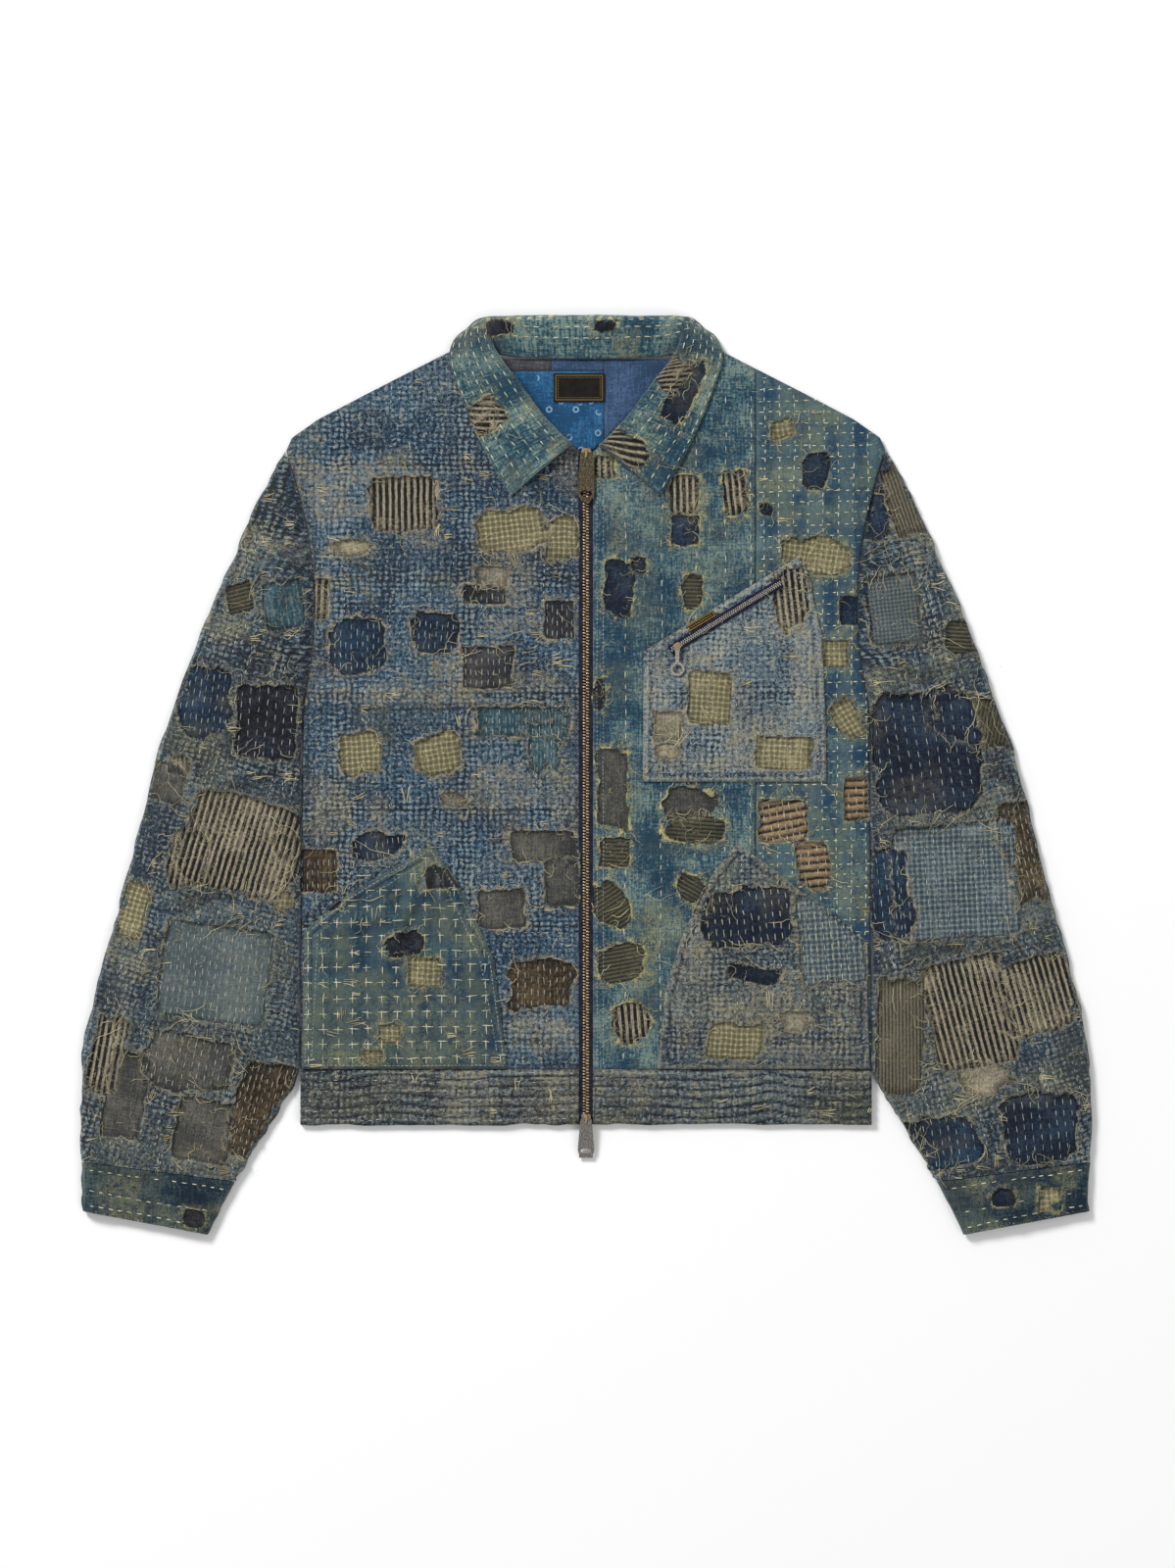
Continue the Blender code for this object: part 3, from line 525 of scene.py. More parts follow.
# %% Starting and finishing a material
def start_material(name, kind, output, **settings):
    """A new material's graph, and where its patterns are read from."""
    material = bpy.data.materials.new(name)
    material.use_nodes = True
    g = Graph(material.node_tree)
    g.material = material
    return g, g.values(kind, {}, **settings)[output]


def start_thing(name):
    return start_material(name, "TexCoord", "Object")


def end_material(g, colour, height, distance, **more):
    """Joins a colour and a height to the shader, with its own sheen, roughness and so on."""
    relief = g.first("Bump", {"Height": height, "Distance": distance})
    shader = g.tree.nodes["Principled BSDF"]
    g.feed(shader.inputs, Base_Color=colour, Normal=relief, **more)
    return g.material


CLOTHS = {}


def start_cloth(name):
    g, spot = start_material(name, "UVMap", "UV", uv_map="cloth")
    CLOTHS[name] = g.material
    return g, spot


def end_cloth(g, spot, colour, height, bump=0.0008, pitch=0.0008, tint=1.0, fray=1.0, worn=WORN,
              dark=DARK):
    """Adds ageing with painted shade and highlight, and a fine weave, and joins everything to the shader.
    """
    age_and_shade = g.place(age_and_shade_group, Vector=spot, Colour=colour, Tint=tint, Fray=fray, Worn=worn, Dark=dark)
    threads = g.place(weave, Vector=spot, Pitch=pitch)
    shade = 0.90 + threads["Over"] * 0.14
    tinted = g.blend(1.0, age_and_shade["Colour"], g.grey(shade), how="MULTIPLY")
    end_material(g, tinted, height + threads["Height"] * 0.30 + age_and_shade["Height"], bump, Roughness=0.92,
                 Specular_IOR_Level=0.18, Sheen_Weight=0.25, Sheen_Roughness=0.45)


# %% Slub tweeds
def tweed(name, deep, mid, pale, flecks, bump=0.0020, **more):
    g, spot = start_cloth(name)
    made = g.place(slub, Vector=spot, Deep=deep, Mid=mid, Pale=pale, Flecks=flecks)
    end_cloth(g, spot, made["Colour"], made["Height"], bump=bump, pitch=0.0011, **more)


tweed("slub_tweed", "#0f2a40", "#2c5470", "#7f9cab", 0.48, worn="#b3a88a")
tweed("pocket_pale_tweed", "#284257", "#5a7484", "#a5b2b2", 0.56, worn="#bdb49a")
tweed("pocket_tweed", "#1a2b38", "#425863", "#8d9896", 0.50, worn="#aaa188")
tweed("sleeve_tweed", "#0b1a28", "#244357", "#6d858e", 0.42, bump=0.0024, worn="#8f917f")
tweed("hem_band_tweed", "#0d1b27", "#2e495a", "#869594", 0.47, worn="#a19a83", dark="#0e161e")
tweed("back_tweed", "#1d3047", "#43586d", "#8d9797", 0.45)
tweed("grey_tweed", "#20262d", "#42494f", "#85857c", 0.50)


# %% Worn indigo and plain dyed cottons
def cotton(name, deep, mid, pale, contrast=0.9, ribs=0.0, rib_colour="#8fa3ad", **more):
    """Plain dyed cloth. ribs is the pitch of faint upright threads in a second colour."""
    g, spot = start_cloth(name)
    made = g.place(dyed, Vector=spot, Deep=deep, Mid=mid, Pale=pale, Contrast=contrast)
    colour = made["Colour"]
    if ribs:
        lines = g.place(bands, Across=g.split(spot)[0], Vector=spot, Pitch=ribs, Share=0.26, Wobble=0.25,
                        Soft=0.16)
        broken = g.span(g.noise(spot, 0.0045), 0.42, 0.62)
        colour = g.blend(lines["Mask"] * broken * 0.42, colour, rib_colour)
    end_cloth(g, spot, colour, made["Height"], **more)


PLAIN = {"tint": 0.3, "fray": 0.35}
cotton("worn_indigo", "#1a3d54", "#42646f", "#7d918a", 1.0, bump=0.0011, dark="#183449", worn="#b4ae78",
       fray=1.3)
cotton("collar_indigo", "#1b3e52", "#3f6069", "#7a8f87", 1.0, bump=0.0009, dark="#1a364c", worn="#aaa57a")
cotton("cuff_indigo", "#0f2231", "#223743", "#495957", 1.0, bump=0.0009, worn="#96946c")
cotton("navy", "#0c1525", "#172536", "#2b3e52", **PLAIN)
cotton("blue_patch", "#0d1c2d", "#162b40", "#29455a", **PLAIN)
cotton("plum_navy", "#11131b", "#1b1f2a", "#353b46", **PLAIN)
cotton("dark_grey", "#222327", "#323236", "#4d4c4e", **PLAIN)
cotton("grey", "#373734", "#494945", "#65635b", ribs=0.0024, rib_colour="#77766e", **PLAIN)
cotton("teal", "#24414c", "#3b5961", "#64797a", 1.0, ribs=0.0056, **PLAIN)
cotton("teal_green", "#3d4c50", "#586467", "#7b8074", 0.55, ribs=0.0058, rib_colour="#858a7e", **PLAIN)
cotton("brown", "#241c13", "#3d3122", "#5d4e38", ribs=0.0046, rib_colour="#927f5c", **PLAIN)
cotton("tan_cloth", "#6b6856", "#8a8470", "#b0a68c", 1.0, ribs=0.0022, rib_colour="#b3aa90", bump=0.0007)


# %% [markdown]
# ### Indigo dyed in squares, stripes, checks and cords
# The side strip and the lower right pocket were pieced from dark and washed-out squares,
# so bands in both directions swing the dye from deep to pale. The patches are scraps:
# ticking stripes, two sizes of check, and corduroy with round ribs.

# %% Squares of indigo
def squares(name, deep, mid, pale, moss, pitch, **more):
    g, spot = start_cloth(name)
    across, along = g.split(spot)
    made = g.place(dyed, Vector=spot, Deep=deep, Mid=mid, Pale=pale, Contrast=0.9)
    colour = made["Colour"]
    for place, step, share, shade in ((along, pitch, 0.62, deep), (across, pitch * 0.93, 0.40, pale)):
        row = g.place(bands, Across=place, Vector=spot, Pitch=step, Share=0.5, Wobble=0.5, Soft=0.22)
        colour = g.blend(row["Mask"] * share, colour, shade)
    washed = g.span(g.noise(spot, 0.038, 5.0, rough=0.7), 0.54, 0.62)
    end_cloth(g, spot, g.blend(washed * 0.55, colour, moss), made["Height"], bump=0.0005, **more)


squares("stitched_check_indigo", "#1d3c55", "#37545f", "#5f7576", "#64705f", 0.0285, worn="#85886a")
squares("pocket_check", "#193346", "#2c4852", "#4e6062", "#5c6350", 0.0300, worn="#8c8a66")


# %% Stripes, checks and cords
def banded(name, ground, thread, pitch, share, check=False, crown=0.0, soft=0.12, wobble=0.25,
           level=False, fine=0.0, **more):
    """Bands of thread on a ground. A check has the same bands the other way too."""
    g, spot = start_cloth(name)
    across, along = g.split(spot)
    if level:
        across, along = along, across
    made = g.place(dyed, Vector=spot, Deep=ground, Mid=ground, Pale=thread, Contrast=0.4)
    rows = {"Vector": spot, "Pitch": pitch, "Share": share, "Wobble": wobble, "Soft": soft}
    first = g.place(bands, Across=across, **rows)
    mask = first["Mask"]
    height = first["Crown"] * crown
    if check:
        other = g.place(bands, Across=along, **rows)["Mask"]
        mask = (mask + other) * 0.35 + mask * other * 0.3
    if fine:
        hair = g.place(bands, Across=across, **{**rows, "Pitch": pitch * fine, "Share": 0.4, "Soft": 0.3})
        mask = mask * (0.62 + hair["Mask"] * 0.38)
    worn = g.span(g.noise(spot, 0.0022, 3.0, rough=0.66), 0.32, 0.60, 0.50, 1.0)
    colour = g.blend(mask * worn, made["Colour"], thread)
    end_cloth(g, spot, colour, made["Height"] * 0.5 + height, tint=0.25, **more)


banded("ticking", "#111217", "#b7ac90", 0.0054, 0.45, fine=0.34, crown=0.8)
banded("tan_check", "#615e46", "#c3b88e", 0.0046, 0.34, True, soft=0.20, wobble=0.5, worn="#a59c80")
banded("blue_check", "#33424d", "#8a9695", 0.0046, 0.40, True, soft=0.2, wobble=0.4, bump=0.0006)
banded("grey_check", "#3b4549", "#78807d", 0.0034, 0.36, True, soft=0.24, wobble=0.4, bump=0.0006)
banded("olive_cord", "#23231c", "#5c5944", 0.0034, 0.62, crown=1.6, bump=0.0009, level=True)
banded("orange_rib", "#251d18", "#a98f6c", 0.0068, 0.66, crown=2.4, bump=0.0011, level=True)
banded("beige_cord", "#37352f", "#7a735f", 0.0030, 0.62, crown=1.4)
banded("brown_cord", "#2b241e", "#5b4f40", 0.0032, 0.62, crown=1.4)
print("cloths:", sorted(CLOTHS))

# %% [markdown]
# ## Holes and scraps
# On the real jacket most patches lie under the cloth: the top layer has worn through or
# was cut away, and a scrap shows in the hole. So a patch is an outline with a wavering
# edge. The grid's nearest points slide onto that outline, the cells inside get the
# scrap's cloth, and they are extruded down by the thickness of the layer that is gone.
# Tables give each one in millimetres from the zip: x, y, width, height, cloth, turn in
# degrees, shape, and the spacing of the running stitches that hold it (0 for none).

# %% Tables of scraps
Scrap = namedtuple("Scrap", "x y w h cloth turn power rows seed")
POWERS = {"square": 12.0, "round": 4.5, "oval": 2.6}


def scraps(text, seed=0):
    """Reads a table of scraps. Each table has its own seed."""
    return [Scrap(*metres(*box), cloth, radians(float(turn)), POWERS[shape], *metres(rows),
                  seed + 7 * number)
            for number, (*box, cloth, turn, shape, rows) in enumerate(rows_of(text))]


RIGHT_FRONT = scraps("""
    -158 235 58 47 ticking 2 square 0; -231 153 17 36 ticking -3 square 0
    -63 211 66 38 tan_check 4 oval 0; -21 205 28 35 tan_check -3 round 0
    -195 18 37 36 tan_check 2 round 0; -127 17 42 38 tan_check 8 oval 0
    -82 172 27 17 tan_cloth 0 square 0; -196 111 47 44 blue_patch 0 round 7
    -130 122 44 32 navy -6 round 7; -181 -62 42 24 navy 6 oval 7; -88 156 37 16 dark_grey 0 square 7
    -23 134 25 32 dark_grey 0 square 6; -85 93 44 36 dark_grey 0 square 7; -55 46 80 26 teal 0 square 8
    -232 -83 33 36 brown 0 square 7; -39 -182 56 42 brown 0 round 8; -37 -62 58 26 grey 2 square 0
    -20 -93 29 38 grey 0 square 0; -73 -116 41 34 grey 3 square 0; -36 24 30 46 teal 0 round 8
    -205 196 34 15 tan_cloth 6 oval 0; -112 -22 26 12 tan_cloth -8 oval 0
""", 100)
LEFT_FRONT = scraps("""
    27 163 27 44 navy -8 round 0; 45 182 13 14 navy 0 oval 0; 86 212 25 27 navy 0 square 0
    85 241 26 33 ticking 0 round 0; 130 244 21 37 ticking 4 square 0; 16 267 18 19 ticking 0 square 0
    39 -215 34 34 ticking 4 oval 0; 92 158 16 28 olive_cord 0 oval 0; 92 131 5 8 navy 0 oval 0
    24 -14 28 66 grey 4 round 0; 25 -68 27 26 olive_cord 0 square 0; 92 -24 44 26 grey 0 oval 0
    96 -47 46 26 olive_cord -6 round 0; 20 -112 28 38 olive_cord 30 oval 0
    30 -164 42 32 olive_cord 8 round 0; 92 -99 30 20 olive_cord -30 oval 0
    12 70 10 26 plum_navy 0 oval 0
""", 300)
LEFT_SIDE = scraps("""
    199 263 21 34 navy -14 oval 0; 156 229 13 11 navy 0 oval 0; 199 190 60 33 tan_check -6 oval 0
    216 104 21 24 tan_check 0 square 0; 227 49 27 33 tan_check 30 oval 0
    172 -40 41 38 orange_rib 8 round 9; 197 -78 28 40 orange_rib 3 round 9
    234 -21 20 36 orange_rib 2 square 9; 228 142 16 24 blue_patch 0 square 0
    170 300 22 18 tan_check 12 round 0
""", 400)
POCKET_CHEST_SCRAPS = scraps("""
    179 152 30 48 ticking 8 round 0; 107 66 38 46 tan_check -2 square 0
    172 19 48 28 tan_check 0 square 0; 71 42 26 26 tan_cloth 0 square 0; 71 20 22 14 tan_cloth 0 oval 0
    97 128 15 10 ticking 30 square 0
""", 500)
POCKET_RIGHT_SCRAPS = scraps("""
    -122 -89 32 20 plum_navy 4 round 0; -155 -146 33 20 plum_navy 14 oval 0
    -140 -171 29 27 tan_check 0 square 0; -222 -114 22 9 plum_navy 20 oval 0
    -170 -224 18 16 tan_check 0 square 0; -186 -244 20 12 tan_check 0 square 0
""", 600)
POCKET_LEFT_SCRAPS = scraps("""
    140 -124 76 50 navy 6 round 9; 146 -173 44 14 navy -10 oval 0; 212 -142 56 80 blue_check 6 square 9
    128 -232 44 32 tan_check 0 round 0; 95 -110 24 26 grey_tweed 0 oval 0
    180 -215 26 20 tan_cloth 0 oval 0
""", 700)
RIGHT_SLEEVE = scraps("""
    -300 153 23 26 olive_cord 12 square 0; -262 147 34 42 teal 8 square 0
    -330 64 46 60 blue_patch -8 round 7; -277 46 52 64 plum_navy -4 square 10
    -362 -7 29 32 grey -16 square 0; -297 -62 102 84 ticking -15 round 0
    -344 -76 34 48 ticking -12 oval 0; -414 -240 27 66 ticking -12 square 0
    -321 -172 95 84 teal_green -8 square 8; -344 -249 76 50 grey -12 round 9
    -398 -276 34 74 grey -10 square 0; -332 -308 48 54 grey -10 square 0
    -280 -292 50 86 brown -14 round 7; -392 -118 24 44 tan_check -14 round 0
    -262 -112 17 17 tan_check 0 oval 0; -262 -62 14 22 brown 0 oval 0
    -300 206 30 16 tan_cloth 20 oval 0; -352 10 20 16 tan_cloth 0 oval 0
""", 800)
LEFT_SLEEVE = scraps("""
    278 238 34 62 beige_cord 16 square 0; 252 226 20 42 navy 10 round 0
    267 143 46 62 grey_check 6 square 0; 296 20 92 106 navy 8 round 12
    344 46 42 90 olive_cord 80 round 0; 264 -105 36 80 blue_patch 6 round 9
    320 -92 108 100 blue_check 4 square 12; 380 -66 34 84 brown 12 round 6
    272 -226 40 100 beige_cord -2 square 0; 332 -206 70 96 ticking 12 square 0
    391 -190 66 66 ticking 14 round 0; 394 -306 64 62 navy 6 round 10
    308 -318 62 48 blue_patch 8 round 10; 330 120 34 30 olive_cord 0 round 0
    345 -262 46 30 tan_cloth 0 oval 0
""", 900)
CUFF_SCRAPS = scraps("""
    -339 -384 20 16 plum_navy 0 oval 0; 402 -368 20 20 tan_check 0 square 0
    362 -366 18 14 navy 0 oval 0
""", 1000)
COLLAR_SCRAPS = scraps("""
    -86 312 31 29 ticking 32 square 0; -92 300 22 12 navy 32 oval 0; 76 347 25 30 ticking -40 round 0
    33 281 42 26 ticking -34 oval 0; 84 330 20 52 navy -24 round 0; -73 387 26 14 plum_navy 0 oval 0
    17 388 23 14 plum_navy 0 oval 0
""", 1100)


def scrap_distance(scrap, x, y):
    """Distance from (x, y) to a scrap's outline, less than 0 inside it."""
    half = min(scrap.w, scrap.h) / 2
    broad, fine = (0.0010, 0.0013) if scrap.power > 5 else (0.0034, 0.0020)
    waver = broad * ripple(x, y, 0.017, scrap.seed) + fine * ripple(x, y, 0.0060, scrap.seed + 1)
    return (squareness(scrap, x, y, scrap.power) - 1) * half + waver * min(1.0, half / 0.014)


def off_scrap(scrap, x, y):
    """scrap_distance for a single place."""
    return scrap_distance(scrap, np.array([x]), np.array([y]))[0]


print("scraps in the tables:", sum(len(t) for t in (RIGHT_FRONT, LEFT_FRONT, LEFT_SIDE, RIGHT_SLEEVE,
                                                    LEFT_SLEEVE, COLLAR_SCRAPS)))

# %% [markdown]
# ### Washed and dark places
# Between the scraps the cloth is a patchwork too: each mend faded by itself. A second
# kind of table gives soft-edged places with a tone: pale where the nap is worn to bare
# yarn, deep where the dye held, and moss where sun and tea-coloured thread greened it.
# Small ones are scattered by a seeded draw, so that hidden sides get the same care.

# %% Tables of tones
Tone = namedtuple("Tone", "x y w h turn name amount")


def tones(text):
    """Reads a table of tones."""
    return [Tone(*metres(*box), radians(float(turn)), name, float(amount))
            for *box, turn, name, amount in rows_of(text)]


def scattered_tones(low, high, number, seed, turn=0.0, strength=(0.25, 0.75)):
    """Mends of their own shade, scattered over a box in metres."""
    draw = np.random.default_rng(seed)
    table = []
    for _ in range(number):
        x, y = draw.uniform(low[0], high[0]), draw.uniform(low[1], high[1])
        w, h = draw.uniform(0.012, 0.052), draw.uniform(0.012, 0.050)
        name = ("pale", "deep", "deep", "moss", "pale")[draw.integers(5)]
        table.append(Tone(x, y, w, h, radians(turn + draw.uniform(-6, 6)), name, draw.uniform(*strength)))
    return table


def tone_at(table, name, x, y):
    """How strong one tone is at (x, y), from 0 to 1."""
    total = np.zeros_like(x)
    for tone in [tone for tone in table if tone.name == name]:
        edge = (squareness(tone, x, y, 4) - 1) * min(tone.w, tone.h) / 2 + 0.004 * ripple(x, y, 0.011, 5)
        total = np.maximum(total, tone.amount * ease(edge, 0.0045, -0.0035))
    return total


RIGHT_TONES = tones("""
    -240 255 30 60 60 pale 0.6; -190 262 80 20 14 pale 0.5; -90 262 60 60 10 deep 0.55
    -40 250 50 30 0 deep 0.5; -195 160 50 50 0 deep 0.5; -120 195 40 60 0 deep 0.5
    -60 165 30 40 0 pale 0.5; -30 170 40 60 0 deep 0.4; -150 70 90 18 0 pale 0.55
    -110 80 40 40 0 pale 0.6; -215 60 40 30 0 deep 0.6; -160 36 40 34 0 deep 0.5
    -100 40 30 60 0 deep 0.5; -70 -10 60 36 0 pale 0.55; -20 -10 26 60 0 pale 0.5
    -120 -30 60 30 0 deep 0.5; -225 -30 36 50 0 pale 0.45; -60 -150 60 30 0 deep 0.35
    -35 -225 50 30 0 pale 0.5; -15 -30 14 200 0 deep 0.35; -205 228 60 14 4 pale 0.5
    -62 130 44 14 0 pale 0.55; -50 80 60 14 0 pale 0.6
""") + scattered_tones((-0.245, -0.05), (-0.01, 0.34), 34, 21)
LEFT_TONES = tones("""
    60 270 70 30 0 moss 0.7; 110 280 60 50 0 deep 0.6; 30 225 44 34 0 deep 0.6; 58 215 30 40 0 moss 0.6
    50 160 26 70 0 moss 0.45; 110 190 40 60 0 moss 0.5; 128 150 30 60 0 deep 0.6
    20 120 28 40 0 deep 0.5; 26 80 36 36 0 moss 0.5; 24 40 36 40 0 deep 0.5; 72 -80 40 60 0 deep 0.6
    120 -110 50 60 0 deep 0.6; 60 -10 30 60 0 deep 0.4; 60 -140 60 40 0 moss 0.4
    14 -200 26 80 0 deep 0.6; 60 -190 30 40 0 moss 0.5; 9 0 8 600 0 deep 0.5; 100 -60 60 12 0 moss 0.6
    38 -35 18 60 0 moss 0.5
""") + scattered_tones((0.01, -0.25), (0.14, 0.34), 22, 22)
SIDE_TONES = tones("""
    190 310 60 40 -20 moss 0.6; 160 270 30 40 0 deep 0.6; 210 225 60 20 0 moss 0.6
    220 165 50 16 0 deep 0.8; 225 120 30 20 0 moss 0.5; 225 78 40 22 0 deep 0.4
    226 20 40 16 0 deep 0.8; 180 -20 60 20 0 deep 0.6; 230 -60 30 60 0 deep 0.4
    170 260 40 20 0 moss 0.5
""") + scattered_tones((0.15, -0.25), (0.25, 0.33), 20, 23)
CHEST_TONES = tones("""
    100 100 70 20 32 pale 0.5; 60 80 20 50 0 pale 0.5; 120 10 80 16 0 pale 0.5
    150 90 60 60 0 deep 0.45; 130 50 26 60 0 pale 0.35; 190 90 24 60 0 pale 0.6
    85 100 40 26 0 deep 0.4; 150 45 40 26 0 deep 0.5
""") + scattered_tones((0.05, 0.0), (0.20, 0.15), 10, 24)
POCKET_RIGHT_TONES = tones("""
    -130 -80 50 30 0 moss 0.8; -120 -125 70 26 0 moss 0.5; -225 -215 50 70 0 moss 0.7
    -200 -190 60 30 0 moss 0.5; -130 -245 120 12 0 moss 0.7; -110 -200 60 60 0 deep 0.5
    -165 -195 50 40 0 deep 0.5; -190 -160 60 26 0 deep 0.5; -225 -150 40 30 0 moss 0.4
""") + scattered_tones((-0.245, -0.25), (-0.07, -0.08), 14, 25)
POCKET_LEFT_TONES = tones("""
    150 -205 90 40 0 pale 0.6; 90 -180 40 80 0 pale 0.4; 200 -225 80 40 0 deep 0.5
    100 -230 60 30 0 deep 0.4; 120 -80 30 30 0 moss 0.7; 180 -100 40 26 -30 moss 0.7
    170 -240 120 14 0 pale 0.5
""") + scattered_tones((0.065, -0.25), (0.245, -0.08), 16, 26)
SLEEVE_RIGHT_TONES = tones("""
    -270 240 60 40 20 deep 0.5; -290 190 60 30 10 pale 0.5; -310 130 80 20 -14 moss 0.4
    -300 105 60 26 0 deep 0.5; -360 20 50 60 -14 deep 0.3; -330 -15 120 14 -14 pale 0.5
    -280 -15 60 30 0 deep 0.5; -370 -60 40 80 -14 deep 0.6; -400 -160 30 60 -14 pale 0.4
    -310 -118 120 14 -12 pale 0.4; -330 -222 120 12 -12 moss 0.4; -420 -190 30 60 -10 deep 0.5
    -370 -330 90 26 -10 pale 0.4; -400 -345 60 20 -10 deep 0.5
""") + scattered_tones((-0.43, -0.34), (-0.25, 0.27), 42, 27, -14)
SLEEVE_LEFT_TONES = tones("""
    300 200 40 30 14 pale 0.5; 330 150 40 60 14 pale 0.4; 290 90 90 20 10 moss 0.6
    250 60 20 60 0 pale 0.5; 330 -35 120 14 8 moss 0.6; 255 -50 20 40 0 deep 0.5
    390 -130 50 40 14 moss 0.5; 310 -150 120 16 8 moss 0.5; 290 -290 90 30 0 moss 0.5
    350 -275 60 30 0 pale 0.5; 420 -250 30 60 10 moss 0.5; 340 -345 100 20 8 deep 0.5
""") + scattered_tones((0.25, -0.34), (0.43, 0.27), 42, 28, 14)
COLLAR_TONES = scattered_tones((-0.12, 0.24), (0.12, 0.40), 26, 29)
BAND_TONES = scattered_tones((-0.25, -0.31), (0.25, -0.25), 44, 30, strength=(0.45, 0.85))
CUFF_TONES = scattered_tones((-0.44, -0.40), (0.44, -0.33), 60, 31)
print("tones on the right front:", len(RIGHT_TONES))

# %% [markdown]
# ## From a grid to a sheet of cloth
# `bmesh.ops.create_grid` gives a square grid; a place function lays it where the cloth
# lies and says where each point is on the flat cut. Then the scraps are set in, the rims
# curl up a little, and a Solidify modifier gives the sheet its wall.

# %% Laying a grid
def laid_grid(across, along, place):
    """A grid laid by place(u, v), which gives x, y, z and the flat place s, t."""
    bm = bmesh.new()
    bmesh.ops.create_grid(bm, x_segments=across, y_segments=along, size=0.5)
    flat = np.array([vert.co[:2] for vert in bm.verts]) + 0.5
    x, y, z, s, t = place(flat[:, 0], flat[:, 1])
    flat_s = bm.verts.layers.float.new("flat_s")
    flat_t = bm.verts.layers.float.new("flat_t")
    for vert, px, py, pz, ps, pt in zip(bm.verts, x, y, z, s, t):
        vert.co = (px, py, pz)
        vert[flat_s], vert[flat_t] = ps, pt
    bmesh.ops.remove_doubles(bm, verts=bm.verts, dist=1e-6)
    bmesh.ops.recalc_face_normals(bm, faces=bm.faces)
    return bm


def face_up(bm, above=-1.0):
    """Turns a sheet so that its faces look up, judged by those above a height."""
    high = [face for face in bm.faces if face.calc_center_median().z > above]
    if sum(face.normal.z * face.calc_area() for face in high) < 0:
        bmesh.ops.reverse_faces(bm, faces=bm.faces)


def plan(bm):
    """x and y of every point."""
    return np.array([vert.co.xy[:] for vert in bm.verts]).T


def rectangle(outline):
    """The box round an outline, a place function that fills it, and its size in cells."""
    (low_x, low_y), (high_x, high_y) = np.min(outline, axis=0), np.max(outline, axis=0)

    def place(u, v):
        x, y = mix(low_x, high_x, u), mix(low_y, high_y, v)
        return x, y, np.zeros_like(x), x, y

    return place, high_x - low_x, high_y - low_y


def trimmed(bm, outline):
    """Cuts a flat sheet along a convex outline, given counter-clockwise."""
    for (ax, ay), (bx, by) in zip(outline, outline[1:] + outline[:1]):
        geometry = bm.verts[:] + bm.edges[:] + bm.faces[:]
        bmesh.ops.bisect_plane(bm, geom=geometry, dist=1e-6, plane_co=(ax, ay, 0.0),
                               plane_no=(by - ay, ax - bx, 0.0), clear_outer=True)


# %% Setting scraps into a sheet
def slide_to_outline(scrap, points, edges, free):
    """Slides the points nearest to a scrap's outline onto it."""
    x, y = points[:, 0], points[:, 1]
    gap = scrap_distance(scrap, x, y)
    first, second = gap[edges[:, 0]], gap[edges[:, 1]]
    nearer = np.where(np.abs(first) < np.abs(second), edges[:, 0], edges[:, 1])
    moved = np.unique(nearer[(first * second < 0)])
    moved = moved[free[moved]]
    if not len(moved):
        return
    px, py, h = x[moved], y[moved], 1e-4
    dx = (scrap_distance(scrap, px + h, py) - scrap_distance(scrap, px - h, py)) / (2 * h)
    dy = (scrap_distance(scrap, px, py + h) - scrap_distance(scrap, px, py - h)) / (2 * h)
    slope = np.maximum(dx * dx + dy * dy, 0.25)
    reach = np.clip(-gap[moved] / slope, -0.0016, 0.0016)
    points[moved, 0] += reach * dx
    points[moved, 1] += reach * dy


HOLLOW_DEPTH = 0.00050      # a point this much under the points round it counts as hollow
FAR = 0.05                  # the distance that is kept where no rim is near
LOOKS_UP = 0.25             # least slope of a face or point that counts as the upper side
TONE_NAMES = ("pale", "deep", "moss")


def rim_distance(table, x, y, upper):
    """Distance to the nearest rim of a table, less than 0 inside a scrap."""
    rim = np.full(len(x), FAR)
    for scrap in table:
        gap = np.where(upper, scrap_distance(scrap, x, y), FAR)
        rim = np.where(np.abs(gap) < np.abs(rim), gap, rim)
    return rim


def hollows(edges, level):
    """How far each point lies under the mean of its neighbours."""
    total, count = np.zeros(len(level)), np.zeros(len(level))
    for near, far in ((0, 1), (1, 0)):
        np.add.at(total, edges[:, near], level[edges[:, far]])
        np.add.at(count, edges[:, near], 1)
    return np.clip((total / count - level) / HOLLOW_DEPTH, -1.5, 1.5)


